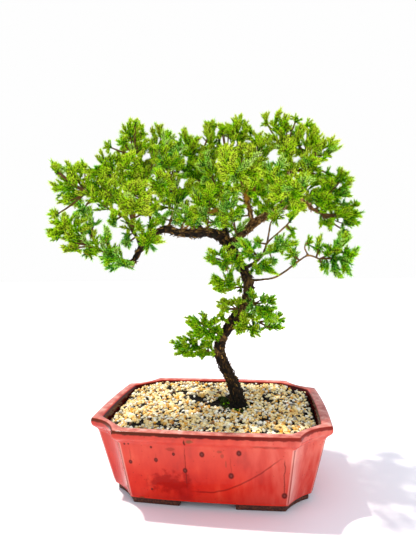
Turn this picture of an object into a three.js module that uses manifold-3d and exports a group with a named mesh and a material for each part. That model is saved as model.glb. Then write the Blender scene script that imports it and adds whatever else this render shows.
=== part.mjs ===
// A juniper bonsai in a red glazed pot. Millimetres, +Z up.
// The origin is under the middle of the pot, on the surface that it stands on.
// +X is to the right and +Y goes away from the side that the tree is seen from.

import * as THREE from 'three';
import { mergeVertices } from 'three/addons/utils/BufferGeometryUtils.js';
import Module from 'manifold-3d';

const wasm = await Module();
wasm.setup();

// Driving dimensions

const GAP = 0.3; // air left between pieces that touch

const RIM_HALF = [101.5, 76]; // half the pot's length and width over its lip
const RIM_CUT = [27.9, 24.6]; // how far a corner is cut back along X and along Y
const FOOT_HALF = [85.9, 57.6]; // the same at the foot of the glazed wall
const FOOT_CUT = [21.1, 20.9];
const POT_HEIGHT = 69.2;
const FEET_HEIGHT = 5;
const LIP_OVERHANG = 5.2; // from the wall out to the lip
const LIP_DEPTH = 11.7; // from the rim down to where the wall starts
const LIP_PROFILE = [[9.9, 4.5], [8.2, 2.6], [6.2, 0.6], [4.2, 0], [1.6, 0], [0, 1.5]]; // drop, inset
const RIM_WIDTH = 8.6; // the flat top of the lip
const RIM_THICKNESS = 3; // where that top stands in past the wall
const MOUTH_EDGE = 0.8;
const CUT_PER_INSET = 0.3; // an outline drawn in by 1 mm has its corner cuts this much shorter
const WALL = 5.4;
const FLOOR_TOP = 10.5;
const COVE_AT_RIM = 5; // depth of the hollow in each cut corner
const COVE_AT_FOOT = 2;
const COVE_STEPS = 4;
const GLAZE_EDGE = 1.3; // the rounding where the glaze ends over the feet
const SIDE_BOW = 2; // how far each side swells out at its middle

// The bare feet are fired as one with the pot. Here each is a piece of its own
const FOOT_INSET = 2.6; // the feet stand in from the glazed wall
const FOOT_BREADTH = 9;
const FRONT_ARCH = 46; // clear width between the feet, along the long sides
const SIDE_ARCH = 30; // and along the short sides

const DRAIN_PLACE = 45; // each drain hole's distance from the middle
const DRAIN_DIAMETER = 16;
const DRAIN_SIDES = 12;
const SCREEN_SIZE = 30;
const SCREEN_THICKNESS = 1.2;
const SCREEN_HOLES = 3; // holes along each side of a screen
const SCREEN_HOLE = 6;
const SCREEN_PITCH = 8.8;

const SOIL_TOP = 56;
const GRAVEL_TOP = 60.5; // the low places between pebbles
const PEBBLE_PITCH = 8.6; // between neighbours of the pebbles' lattice
const PEBBLE_RISE = 2.6;
const PEBBLE_UNEVEN = 1; // by which any corner may stand higher
const PEBBLE_JITTER = 0.22; // share of the pitch by which a corner may lie off its place
const PEBBLE_SEED = 7;

const NEEDLE_RISE = 3; // a needle stands this far off its shoot
const NEEDLE_LEAN = 4.2; // and leans this far towards its tip
const SHOOT_RADIUS = 1.1; // the slim green core of a shoot
const REACH = 0.7 * SHOOT_RADIUS + NEEDLE_RISE; // of the needles' points, from the middle of a shoot
const NEEDLE_SPACING = 8.2; // length of shoot that carries six needles
const BARE_SHARE = 0.38; // share of each shoot, at its base, that carries none
const BEND_PLACE = 0.45; // where along a shoot its curve is pulled out, and by what shares of its length
const BEND_OUT = 0.14;
const BEND_SAG = 0.06;

const GOLDEN_ANGLE = Math.PI * (3 - Math.sqrt(5));
const WIDEST = -0.3; // cosine of the widest angle between a shoot's tip and the spray's direction
const FIRST_TIP = 0.35; // how far the first tip lies off that direction, in steps of the spread
const FORKS_FROM = 0.12; // the side shoots leave the first one past this share of it
const FORKS_OVER = 0.3; // and over this share
const CLEARANCE = 0.4; // kept between a shoot and any other piece
const SAME_SPRAY_SHARE = 0.45; // shoots of one spray may lie closer together, by this share
const TRIES = 40; // places tried for a shoot before it is left out
const TURN_A_TRY = 0.7; // radians
const PULL_A_TRY = 0.014; // share by which the spray's space is drawn in
const FIRST_SPRAY_SEED = 100;

// The trunk with its tap root, the limbs and the twigs: X, Y, Z and diameter at each point,
// lowest or innermost first

const LIMBS = {
  trunk: [
    [18, 12, 26, 4], [20, 10, 40, 10], [22, 9, 52, 18], [23, 8, 58, 21], [22, 8, 66, 16.5], [20, 8, 78, 13], [16, 8, 88, 11.5], [9, 7, 103, 11],
    [5, 6, 115, 11], [7, 5, 126, 10.5], [13, 4, 137, 10], [21, 3, 149, 10.5], [29, 3, 159, 10.5],
    [33, 4, 169, 10], [34, 5, 180, 10.5], [31, 5, 191, 10], [26, 5, 201, 9], [21, 5, 211, 9.5],
    [16, 5, 218, 12],
  ],
  left_limb: [
    [17, 5, 217, 11], [7, 1, 227, 10], [-4, -4, 230, 9], [-17, -9, 229, 8.5], [-30, -13, 230, 7.5],
    [-40, -16, 233, 7], [-49, -19, 229, 6.5], [-57, -22, 223, 6.5], [-62, -24, 216, 6], [-70, -30, 199, 5],
  ],
  right_limb: [
    [17, 5, 217, 10], [25, 3, 225, 9], [37, 0, 235, 8], [51, -4, 244, 7.2], [66, -8, 252, 6.4],
    [78, -8, 257, 5], [88, 0, 254, 4], [95, 8, 250, 3.2],
  ],
  left_rise: [[-62, -24, 217, 4], [-65, -28, 226, 3.6], [-69, -31, 233, 3.2], [-73, -33, 242, 2.8], [-77, -34, 253, 2.4]],
  far_left: [[-73, -33, 242, 2.8], [-86, -32, 249, 2.4], [-100, -31, 260, 2.1], [-110, -30, 267, 2]],
  left_inner: [[-77, -34, 252, 2.4], [-85, -29, 260, 2]],
  left_upper: [[-77, -34, 252, 2.4], [-84, -26, 269, 2.2], [-91, -20, 280, 2]],
  left_front: [[-69, -31, 233, 3.2], [-66, -39, 240, 2.2]],
  crown_left: [
    [-57, -22, 223, 4], [-55, -18, 234, 3.4], [-56, -14, 247, 3], [-61, -8, 262, 2.8], [-64, -4, 274, 2.6],
    [-69, 0, 293, 2.3], [-75, 3, 308, 2],
  ],
  crown_right: [[-64, -4, 274, 2.6], [-60, 3, 291, 2]],
  crown_low: [[-61, -8, 262, 2.8], [-68, -10, 271, 2]],
  low_left: [[-68, -29, 203, 3], [-76, -32, 205, 2.5], [-85, -36, 209, 2.3], [-97, -38, 214, 2], [-105, -38, 218, 2]],
  low_left_up: [[-85, -36, 209, 2.3], [-85, -40, 216, 2]],
  link: [[-97, -38, 214, 2], [-103, -34, 222, 2]],
  low_left_down: [[-76, -32, 205, 2.5], [-79, -36, 201, 2]],
  limb_end: [[-57, -22, 223, 4], [-51, -31, 225, 2]],
  left_middle: [[-39, -15, 232, 3.4], [-35, -13, 245, 3], [-31, -11, 255, 2.8], [-32, -8, 268, 2.4], [-37, -8, 282, 2]],
  left_middle_low: [[-32, -8, 267, 2.4], [-37, -12, 269, 2]],
  small_left: [[-28, -12, 230, 3], [-25, -16, 236, 2]],
  above_fork: [[-4, -4, 230, 3.4], [-2, -9, 239, 2]],
  fork_front: [[23, 3, 223, 3.4], [23, -6, 232, 2]],
  middle_rise: [[14, 7, 219, 5.5], [11, 14, 241, 5], [10, 18, 261, 4.5], [2, 22, 275, 3.6], [-3, 26, 290, 3], [-5, 27, 300, 2.2]],
  middle_left: [[-3, 26, 290, 3], [-11, 24, 298, 2.4], [-15, 22, 304, 2]],
  middle_low: [[2, 22, 275, 3.6], [-7, 17, 280, 2.2]],
  middle_right: [[10, 18, 261, 4.5], [8, 16, 275, 3], [10, 15, 291, 2.6], [14, 18, 303, 2]],
  middle_front: [[8, 16, 275, 3], [6, 0, 274, 2.2], [5, -8, 274, 2]],
  front_rise: [[37, 0, 235, 5.4], [37, -4, 248, 4.6], [34, -8, 256, 4], [31, -18, 266, 3.2], [30, -28, 270, 2.2]],
  inner_right: [[34, -8, 256, 4], [39, 2, 271, 3], [42, 11, 287, 2.6], [44, 14, 296, 2]],
  inner_low: [[39, 2, 270, 3], [45, 1, 273, 2]],
  right_end: [[95, 8, 249, 3.2], [100, 12, 252, 2.6], [106, 14, 259, 2]],
  right_hanging: [[95, 8, 250, 3.2], [104, 14, 246, 2]],
  right_rise: [[67, -8, 252, 5], [72, -2, 267, 4], [74, 4, 283, 3.4], [73, 8, 299, 2.6], [69, 10, 307, 2]],
  right_outer: [[78, -8, 256, 4.4], [87, 4, 271, 3.2], [91, 11, 286, 2.6], [91, 14, 300, 2]],
  right_arm: [[91, 11, 285, 2.6], [99, 17, 298, 2]],
  right_front: [[75, -8, 255, 3.4], [72, -22, 252, 2]],
  right_inner: [[55, -5, 246, 3.4], [57, -11, 255, 2]],
  long_twig: [[32, 3, 197, 4.4], [38, -4, 199, 3.8], [43, -10, 203, 3.2], [48, -14, 208, 2.9], [52, -20, 218, 2.2], [60, -24, 225, 2], [68, -26, 232, 2]],
  dark_twig: [[48, -14, 208, 2.9], [51, -14, 216, 2.3], [53, -13, 225, 2.1], [55, -12, 236, 2]],
  under_fork: [[43, -10, 203, 3.2], [42, -15, 208, 2]],
  under_limb: [[48, -14, 208, 2.9], [55, -18, 210, 2]],
  under_twig: [[38, -4, 199, 3.8], [43, -11, 197, 2]],
  long_arch: [[35, 3, 184, 3.6], [47, -6, 185, 2.5], [58, -12, 187, 2.3], [68, -16, 193, 2.2], [77, -18, 200, 2.1], [87, -18, 206, 2], [97, -16, 203, 2]],
  arch_fork: [[87, -18, 206, 2], [84, -20, 213, 1.8], [86, -21, 218, 1.6]],
  trunk_left_high: [[26, 4, 202, 3.6], [20, -7, 201, 2.2]],
  trunk_left_mid: [[31, 4, 178, 3.6], [22, -7, 178, 2]],
  trunk_right: [[32, 2, 166, 3.4], [39, -9, 163, 2]],
  trunk_right_low: [[29, 2, 156, 3], [37, -4, 150, 2.4], [43, -6, 146, 2]],
  trunk_right_hanging: [[30, 1, 156, 3], [33, -9, 148, 2]],
  trunk_behind: [[21, 4, 149, 3.2], [23, 14, 142, 2]],
  trunk_left_low: [[27, 2, 156, 3], [23, -6, 158, 2]],
  low_left_branch: [[9, 4, 130, 3], [2, -3, 136, 2]],
  lowest_branch: [[5, 6, 115, 3], [-5, 1, 116, 2]],
  back_middle: [[16, 7, 220, 5], [11, 28, 236, 4.4], [2, 46, 254, 3.4], [-6, 54, 270, 2.2]],
  back_left: [[-6, -3, 230, 4.6], [-16, 18, 241, 4], [-30, 33, 257, 3.2], [-40, 40, 272, 2.2]],
  back_far_left: [[-30, 33, 256, 3.2], [-56, 34, 262, 2.6], [-74, 35, 268, 2]],
  back_right: [[36, 0, 234, 4.6], [47, 24, 248, 3.6], [56, 42, 264, 2.8], [58, 50, 274, 2]],
  back_far_right: [[47, 24, 247, 3.6], [68, 34, 254, 2.6], [84, 40, 262, 2]],
};

// The side roots, in the soil: the same four numbers at each point

const ROOTS = {
  root_front: [[23, 8, 50, 10], [28, -10, 44, 6], [34, -28, 38, 3]],
  root_right: [[23, 8, 50, 10], [42, 12, 45, 6.4], [62, 14, 38, 3]],
  root_back: [[22, 8, 48, 9], [14, 28, 42, 5.6], [6, 42, 36, 3]],
  root_left: [[22, 8, 50, 10], [2, 4, 44, 6.4], [-22, 2, 37, 3]],
};
const BASE_SHARE = 0.7; // a limb starts this much thinner, inside the one that it grows from
const SIDES_ABOVE = [[12, 8], [8, 6], [3.4, 5], [0, 4]]; // a limb's sides, by its greatest diameter
const SHORT_LIMB_SIDES_ABOVE = [[4, 4], [0, 3]]; // and those of a limb with three points or fewer
const TRUNK_FOOT_POINTS = 6; // the trunk's points up to just above the gravel
const HOLE_SPARE = 0.5; // by which the room left for the wood is wider all round

// The sprays of needles: the limb that each grows from, the middle and the size of the
// space that it fills, and the most shoots that it may have

const SPRAYS = {
  far_left: { limb: 'far_left', centre: [-123, -30, 275], size: [36, 40, 38], shoots: 5 },
  left_low: { limb: 'low_left', centre: [-124, -36, 227], size: [30, 36, 36], shoots: 5 },
  left_link: { limb: 'link', centre: [-111, -30, 235], size: [15, 20, 33], shoots: 3 },
  left_upper: { limb: 'left_upper', centre: [-95, -14, 297], size: [27, 40, 32], shoots: 4 },
  left_inner: { limb: 'left_inner', centre: [-101, -22, 272], size: [31, 28, 29], shoots: 3 },
  left_front: { limb: 'left_front', centre: [-65, -48, 252], size: [38, 30, 34], shoots: 4 },
  low_left_down: { limb: 'low_left_down', centre: [-81, -40, 206], size: [24, 18, 14], shoots: 3 },
  low_left_up: { limb: 'low_left_up', centre: [-88, -43, 221], size: [13, 18, 23], shoots: 2 },
  limb_end: { limb: 'limb_end', centre: [-52, -38, 225], size: [21, 22, 21], shoots: 3 },
  crown_left: { limb: 'crown_left', centre: [-76, 5, 328], size: [26, 38, 31], shoots: 4 },
  crown_right: { limb: 'crown_right', centre: [-58, 8, 320], size: [28, 36, 35], shoots: 4 },
  crown_low: { limb: 'crown_low', centre: [-77, -12, 296], size: [31, 30, 32], shoots: 3 },
  left_middle: { limb: 'left_middle', centre: [-38, -12, 304], size: [30, 34, 36], shoots: 4 },
  left_middle_low: { limb: 'left_middle_low', centre: [-42, -24, 270], size: [27, 28, 32], shoots: 3 },
  small_left: { limb: 'small_left', centre: [-23, -18, 243], size: [20, 16, 14], shoots: 3 },
  above_fork: { limb: 'above_fork', centre: [-3, -15, 252], size: [27, 24, 34], shoots: 4 },
  fork_front: { limb: 'fork_front', centre: [21, -14, 250], size: [20, 24, 38], shoots: 4 },
  middle_left: { limb: 'middle_left', centre: [-22, 20, 320], size: [28, 38, 32], shoots: 4 },
  middle_low: { limb: 'middle_low', centre: [-20, 12, 288], size: [26, 30, 28], shoots: 3 },
  middle_rise: { limb: 'middle_rise', centre: [-1, 28, 323], size: [26, 44, 42], shoots: 4 },
  middle_right: { limb: 'middle_right', centre: [25, 24, 329], size: [26, 44, 38], shoots: 4 },
  middle_front: { limb: 'middle_front', centre: [2, -18, 286], size: [21, 24, 34], shoots: 3 },
  front: { limb: 'front_rise', centre: [30, -44, 278], size: [37, 32, 36], shoots: 5 },
  inner_right: { limb: 'inner_right', centre: [47, 16, 311], size: [25, 40, 30], shoots: 4 },
  inner_low: { limb: 'inner_low', centre: [44, -2, 270], size: [22, 26, 33], shoots: 3 },
  right_rise: { limb: 'right_rise', centre: [62, 12, 322], size: [30, 46, 34], shoots: 5 },
  right_outer: { limb: 'right_outer', centre: [87, 15, 314], size: [30, 46, 38], shoots: 5 },
  right_arm: { limb: 'right_arm', centre: [111, 22, 307], size: [26, 28, 25], shoots: 3 },
  right_front: { limb: 'right_front', centre: [71, -36, 258], size: [34, 30, 38], shoots: 5 },
  right_end: { limb: 'right_end', centre: [116, 15, 271], size: [31, 40, 32], shoots: 5 },
  right_hanging: { limb: 'right_hanging', centre: [120, 19, 245], size: [42, 34, 34], shoots: 5 },
  right_inner: { limb: 'right_inner', centre: [57, -16, 272], size: [29, 24, 38], shoots: 3 },
  long_twig: { limb: 'long_twig', centre: [71, -28, 242], size: [15, 16, 15], shoots: 2 },
  under_fork: { limb: 'under_fork', centre: [36, -20, 212], size: [23, 22, 23], shoots: 3 },
  under_limb: { limb: 'under_limb', centre: [63, -21, 213], size: [26, 22, 23], shoots: 4 },
  under_twig: { limb: 'under_twig', centre: [49, -19, 196], size: [20, 18, 16], shoots: 3 },
  arch_end: { limb: 'long_arch', centre: [111, -14, 206], size: [34, 30, 33], shoots: 5 },
  trunk_left_high: { limb: 'trunk_left_high', centre: [10, -14, 205], size: [29, 22, 24], shoots: 4 },
  trunk_left_mid: { limb: 'trunk_left_mid', centre: [14, -12, 183], size: [24, 20, 22], shoots: 3 },
  trunk_right: { limb: 'trunk_right', centre: [46, -18, 160], size: [25, 26, 23], shoots: 4 },
  trunk_right_low: { limb: 'trunk_right_low', centre: [55, -5, 144], size: [22, 18, 17], shoots: 3 },
  trunk_right_hanging: { limb: 'trunk_right_hanging', centre: [36, -20, 143], size: [20, 20, 14], shoots: 2 },
  trunk_left_low: { limb: 'trunk_left_low', centre: [15, -10, 161], size: [20, 16, 17], shoots: 2 },
  low_left_branch: { limb: 'low_left_branch', centre: [-7, -7, 143], size: [36, 24, 22], shoots: 5 },
  lowest_branch: { limb: 'lowest_branch', centre: [-18, -3, 122], size: [40, 24, 19], shoots: 5 },
  back_middle: { limb: 'back_middle', centre: [-7, 58, 290], size: [40, 30, 38], shoots: 4 },
  back_left: { limb: 'back_left', centre: [-48, 44, 294], size: [38, 34, 44], shoots: 4 },
  back_far_left: { limb: 'back_far_left', centre: [-92, 34, 280], size: [36, 36, 40], shoots: 4 },
  back_right: { limb: 'back_right', centre: [55, 56, 292], size: [42, 30, 38], shoots: 4 },
  back_far_right: { limb: 'back_far_right', centre: [98, 48, 275], size: [36, 36, 36], shoots: 4 },
};

// Colour, roughness and metalness of each material

const FINISHES = {
  glaze: ['#c93f2f', 0.25, 0],
  clay: ['#5a3a28', 0.9, 0],
  plastic_mesh: ['#22382a', 0.6, 0],
  soil: ['#241c15', 1, 0],
  gravel: ['#d9c49a', 0.85, 0],
  bark: ['#5a3e22', 0.9, 0],
  needles: ['#4f9a1f', 0.6, 0],
};

// Solids

const mix = THREE.MathUtils.lerp;
const v3 = ([x, y, z]) => new THREE.Vector3(x, y, z);

// The geometry with positions alone, its faces sharing their corners
function shared(geometry) {
  const bare = geometry.clone();
  bare.deleteAttribute('normal');
  bare.deleteAttribute('uv');
  return mergeVertices(bare, 1e-4);
}

function solid(geometry) {
  const merged = shared(geometry);
  return new wasm.Manifold(new wasm.Mesh({
    numProp: 3,
    vertProperties: new Float32Array(merged.attributes.position.array),
    triVerts: new Uint32Array(merged.index.array),
  }));
}

function geometryOf(shape) {
  const { vertProperties, triVerts } = shape.getMesh();
  const geometry = new THREE.BufferGeometry();
  geometry.setAttribute('position', new THREE.BufferAttribute(new Float32Array(vertProperties), 3));
  geometry.setIndex([...triVerts]);
  geometry.computeVertexNormals();
  return geometry;
}

function joined(shapes) {
  return shapes.reduce((whole, shape) => whole.add(shape));
}

function box(size, centre) {
  return solid(new THREE.BoxGeometry(...size).translate(...centre));
}

function solidFrom(points, triangles) {
  const geometry = new THREE.BufferGeometry();
  geometry.setFromPoints(points);
  geometry.setIndex(triangles);
  return solid(geometry);
}

// The triangles between rings of corners, each ring joined to the next
function bands(rings, corners) {
  const triangles = [];
  for (let ring = 0; ring + 1 < rings; ring++) {
    for (let i = 0; i < corners; i++) {
      const a = ring * corners + i;
      const b = ring * corners + (i + 1) % corners;
      triangles.push(a, b, b + corners, a, b + corners, a + corners);
    }
  }
  return triangles;
}

// A closed solid over flat outlines at rising heights, all with the same number of corners
function loft(levels) {
  const corners = levels[0].outline.length;
  const points = levels.flatMap(({ outline, z }) => outline.map(({ x, y }) => new THREE.Vector3(x, y, z)));
  const triangles = bands(levels.length, corners);
  const top = points.length - corners;
  for (const [a, b, c] of THREE.ShapeUtils.triangulateShape(levels[0].outline, [])) {
    triangles.push(c, b, a);
  }
  for (const [a, b, c] of THREE.ShapeUtils.triangulateShape(levels.at(-1).outline, [])) {
    triangles.push(top + a, top + b, top + c);
  }
  return solidFrom(points, triangles);
}

// The pot

const RIM = { half: RIM_HALF, cut: RIM_CUT, cove: COVE_AT_RIM };
const FOOT = { half: FOOT_HALF, cut: FOOT_CUT, cove: COVE_AT_FOOT };
const WALL_TOP = POT_HEIGHT - LIP_DEPTH;

function drawnIn({ half, cut, cove }, inset) {
  return {
    half: half.map((size) => size - inset),
    cut: cut.map((size) => size - CUT_PER_INSET * inset),
    cove,
  };
}

// The outside of the wall at a height
function wallAt(z) {
  const head = drawnIn(RIM, LIP_OVERHANG);
  const share = THREE.MathUtils.clamp((z - FEET_HEIGHT) / (WALL_TOP - FEET_HEIGHT), 0, 1);
  return {
    half: FOOT.half.map((size, axis) => mix(size, head.half[axis], share)),
    cut: FOOT.cut.map((size, axis) => mix(size, head.cut[axis], share)),
    cove: mix(FOOT.cove, head.cove, share),
  };
}

// The inside of the wall at a height, drawn in by an inset
function cavityAt(z, inset = 0) {
  const { half, cut } = wallAt(z);
  return { half: half.map((size) => size - WALL - inset), cut, cove: 0 };
}

// An oblong outline: bowed sides, and cut corners that are each hollowed by a shallow arc
function outlineOf({ half: [a, b], cut: [cutX, cutY], cove }) {
  const sides = [
    [[a, -b + cutY], [a, b - cutY]],
    [[a - cutX, b], [-a + cutX, b]],
    [[-a, b - cutY], [-a, -b + cutY]],
    [[-a + cutX, -b], [a - cutX, -b]],
  ];
  const steps = cove ? COVE_STEPS : 1;
  return sides.flatMap(([start, end], side) => {
    const [next] = sides[(side + 1) % 4];
    const middle = start.map((place, axis) => (place + end[axis]) / 2);
    const bowed = middle.map((place) => place + SIDE_BOW * Math.sign(place));
    const inward = new THREE.Vector2(-Math.sign(end[0] + next[0]) * cutY, -Math.sign(end[1] + next[1]) * cutX);
    inward.normalize();
    const corner = Array.from({ length: steps }, (_, i) => {
      const t = i / steps;
      const point = new THREE.Vector2(mix(end[0], next[0], t), mix(end[1], next[1], t));
      return point.addScaledVector(inward, cove * 4 * t * (1 - t));
    });
    return [new THREE.Vector2(...start), new THREE.Vector2(...bowed), ...corner];
  });
}

function loftOf(levels) {
  return loft(levels.map(([z, shape]) => ({ z, outline: outlineOf(shape) })));
}

function pot() {
  const outside = loftOf([
    [FEET_HEIGHT, drawnIn(FOOT, GLAZE_EDGE)],
    [FEET_HEIGHT + GLAZE_EDGE, FOOT],
    [WALL_TOP, wallAt(WALL_TOP)],
    ...LIP_PROFILE.map(([drop, inset]) => [POT_HEIGHT - drop, drawnIn(RIM, inset)]),
  ]);
  const mouth = { ...drawnIn(RIM, RIM_WIDTH), cove: 0 };
  const inside = loftOf([
    [FLOOR_TOP, cavityAt(FLOOR_TOP)],
    [WALL_TOP, cavityAt(WALL_TOP)],
    [POT_HEIGHT - RIM_THICKNESS, cavityAt(WALL_TOP)],
    [POT_HEIGHT - MOUTH_EDGE, mouth],
    [POT_HEIGHT + 1, mouth],
  ]);

  const drains = [-1, 1].map((side) => {
    const hole = new THREE.CylinderGeometry(DRAIN_DIAMETER / 2, DRAIN_DIAMETER / 2, 3 * FLOOR_TOP, DRAIN_SIDES);
    return solid(hole.rotateX(Math.PI / 2).translate(side * DRAIN_PLACE, 0, 0));
  });
  return outside.subtract(inside).subtract(joined(drains));
}

// The foot in one corner: a stretch of the ring under the wall, from arch to arch
function foot(right, back) {
  const top = FEET_HEIGHT - GAP;
  const outer = drawnIn(FOOT, FOOT_INSET);
  const inner = drawnIn(FOOT, FOOT_INSET + FOOT_BREADTH);
  const ring = loftOf([[0, outer], [top, outer]]).subtract(loftOf([[-1, inner], [top + 1, inner]]));
  const [length, breadth] = FOOT_HALF;
  const centre = [right * (FRONT_ARCH + length) / 2, back * (SIDE_ARCH + breadth) / 2, 0];
  return ring.intersect(box([length, breadth, 3 * top], centre));
}

// A square of plastic mesh over a drain hole
function drainScreen(side) {
  const [x, y, z] = [side * DRAIN_PLACE, 0, FLOOR_TOP + GAP + SCREEN_THICKNESS / 2];
  const places = Array.from({ length: SCREEN_HOLES }, (_, i) => (i - (SCREEN_HOLES - 1) / 2) * SCREEN_PITCH);
  const holes = places.flatMap((right) => places.map((back) => (
    box([SCREEN_HOLE, SCREEN_HOLE, 2 * SCREEN_THICKNESS], [x + right, y + back, z])
  )));
  return box([SCREEN_SIZE, SCREEN_SIZE, SCREEN_THICKNESS], [x, y, z]).subtract(joined(holes));
}

// Tubes along a line of points

// A point, a direction and two square directions at each of the points
function framesAlong(points) {
  let side = null;
  return points.map((point, i) => {
    const before = points[Math.max(i - 1, 0)];
    const after = points[Math.min(i + 1, points.length - 1)];
    const along = after.clone().sub(before).normalize();
    side ??= Math.abs(along.x) < 0.8 ? new THREE.Vector3(1, 0, 0) : new THREE.Vector3(0, 1, 0);
    side = side.clone().addScaledVector(along, -side.dot(along)).normalize();
    return { point, along, side, up: along.clone().cross(side) };
  });
}

function ringAt({ point, side, up }, radius, sides, turn = 0) {
  return Array.from({ length: sides }, (_, i) => {
    const angle = turn + i * 2 * Math.PI / sides;
    return point.clone()
      .addScaledVector(side, radius * Math.cos(angle))
      .addScaledVector(up, radius * Math.sin(angle));
  });
}

// The number of sides for a limb, by its thickest point and its length
function sidesFor(stations) {
  const thickest = Math.max(...stations.map(([, , , diameter]) => diameter));
  const table = stations.length > 3 ? SIDES_ABOVE : SHORT_LIMB_SIDES_ABOVE;
  const [, sides] = table.find(([diameter]) => thickest > diameter);
  return sides;
}

// A limb through points with a diameter at each, swollen and lengthened at its ends by grow
function limb(stations, sides, grow = 0) {
  const points = stations.map(v3);
  if (grow) {
    points.at(-1).add(points.at(-1).clone().sub(points.at(-2)).setLength(grow));
    points[0].add(points[0].clone().sub(points[1]).setLength(grow));
  }
  const rings = framesAlong(points).map((frame, i) => ringAt(frame, stations[i][3] / 2 + grow, sides));
  const triangles = bands(rings.length, sides);
  const top = (rings.length - 1) * sides;
  for (let i = 1; i + 1 < sides; i++) triangles.push(0, i + 1, i, top, top + i, top + i + 1);
  return solidFrom(rings.flat(), triangles);
}

function wood() {
  return joined([...Object.values(LIMBS), ...Object.values(ROOTS)].map((stations) => {
    const [[x, y, z, diameter], ...rest] = stations;
    return limb([[x, y, z, diameter * BASE_SHARE], ...rest], sidesFor(stations));
  }));
}

// Plain room in the soil and the gravel for the roots and the foot of the trunk
function rootHole() {
  const foot = LIMBS.trunk.slice(0, TRUNK_FOOT_POINTS);
  return joined([foot, ...Object.values(ROOTS)].map((stations) => limb(stations, sidesFor(stations), HOLE_SPARE)));
}

// Soil and gravel

function soil() {
  const fill = loftOf([FLOOR_TOP + GAP, SOIL_TOP].map((z) => [z, cavityAt(z, GAP)]));
  const pocket = [SCREEN_SIZE + 2 * GAP, SCREEN_SIZE + 2 * GAP, 2 * (SCREEN_THICKNESS + 2 * GAP)];
  const pockets = [-1, 1].map((side) => box(pocket, [side * DRAIN_PLACE, 0, FLOOR_TOP]));
  return fill.subtract(joined(pockets)).subtract(rootHole());
}

function randomStream(seed) {
  let state = seed;
  return () => {
    state = (state + 0x6d2b79f5) | 0;
    let t = Math.imul(state ^ (state >>> 15), 1 | state);
    t = (t + Math.imul(t ^ (t >>> 7), 61 | t)) ^ t;
    return ((t ^ (t >>> 14)) >>> 0) / 4294967296;
  };
}

// A slab whose top is a lattice of corners, of which every third stands up as a pebble
function gravel() {
  const random = randomStream(PEBBLE_SEED);
  const rowPitch = PEBBLE_PITCH * Math.sqrt(3) / 2;
  const columns = Math.ceil(2 * RIM_HALF[0] / PEBBLE_PITCH);
  const rows = 2 * Math.ceil(RIM_HALF[1] / rowPitch);
  const slab = shared(new THREE.BoxGeometry(columns * PEBBLE_PITCH, rows * rowPitch, 2, columns, rows, 1));
  const corners = slab.attributes.position;
  const jitter = () => PEBBLE_JITTER * (2 * random() - 1);
  for (let i = 0; i < corners.count; i++) {
    const row = Math.round(corners.getY(i) / rowPitch + rows / 2);
    const column = Math.round(corners.getX(i) / PEBBLE_PITCH + columns / 2);
    const shift = row % 2 ? 0.25 : -0.25;
    const isPebble = (column + (row % 2 ? 2 : 0)) % 3 === 0;
    const rise = random() * PEBBLE_UNEVEN + (isPebble ? PEBBLE_RISE : 0);
    corners.setX(i, corners.getX(i) + (shift + jitter()) * PEBBLE_PITCH);
    corners.setY(i, corners.getY(i) + jitter() * PEBBLE_PITCH);
    corners.setZ(i, corners.getZ(i) > 0 ? GRAVEL_TOP + rise : SOIL_TOP - 1);
  }
  const low = SOIL_TOP + GAP;
  const high = GRAVEL_TOP + 2 * PEBBLE_RISE;
  const bound = loftOf([low, high].map((z) => [z, cavityAt(low, GAP)]));
  return solid(slab).intersect(bound).subtract(rootHole());
}

// Shoots with needles

// A shoot along its points: a three-sided core, bare up to its second point. From there each
// triangle of the core is drawn out to a needle, and the core ends in one more
function shoot(points) {
  const frames = framesAlong(points);
  const corners = frames.flatMap((frame, i) => ringAt(frame, SHOOT_RADIUS, 3, i * Math.PI / 3));
  const all = [...corners];
  const triangles = [0, 2, 1];
  const needleOn = ({ point, along }, [a, b, c]) => {
    const middle = corners[a].clone().add(corners[b]).add(corners[c]).divideScalar(3);
    const foot = point.clone().addScaledVector(along, middle.clone().sub(point).dot(along));
    const outward = middle.clone().sub(foot).normalize();
    all.push(middle.addScaledVector(outward, NEEDLE_RISE).addScaledVector(along, NEEDLE_LEAN));
    const tip = all.length - 1;
    triangles.push(a, b, tip, b, c, tip, c, a, tip);
  };
  for (let ring = 0; ring + 1 < frames.length; ring++) {
    for (let i = 0; i < 3; i++) {
      const a = ring * 3 + i;
      const b = ring * 3 + (i + 1) % 3;
      for (const face of [[a, b, a + 3], [a + 3, b, b + 3]]) {
        if (ring === 0) triangles.push(...face);
        else needleOn(frames[ring], face);
      }
    }
  }
  const { point, along } = frames.at(-1);
  all.push(point.clone().addScaledVector(along, NEEDLE_LEAN));
  const end = corners.length - 3;
  for (let i = 0; i < 3; i++) triangles.push(end + i, end + (i + 1) % 3, all.length - 1);
  return solidFrom(all, triangles);
}

// The shortest distance between two straight stretches
function distanceBetween(a, b, c, d) {
  const u = b.clone().sub(a);
  const v = d.clone().sub(c);
  const w = a.clone().sub(c);
  const uu = u.dot(u);
  const vv = v.dot(v);
  const uv = u.dot(v);
  const clamp = (share) => THREE.MathUtils.clamp(share, 0, 1);
  const spread = uu * vv - uv * uv;
  const nearest = spread > 1e-9 ? clamp((uv * v.dot(w) - vv * u.dot(w)) / spread) : 0;
  const t = clamp((uv * nearest + v.dot(w)) / vv);
  const s = clamp((uv * t - u.dot(w)) / uu);
  return w.addScaledVector(u, s).addScaledVector(v, -t).length();
}

// Each straight stretch of a line of points, with its radius and its owner's name
function stretches(points, radii, owner) {
  return points.slice(1).map((to, i) => (
    { from: points[i], to, radius: Math.max(radii[i], radii[i + 1]), owner }
  ));
}

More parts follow.
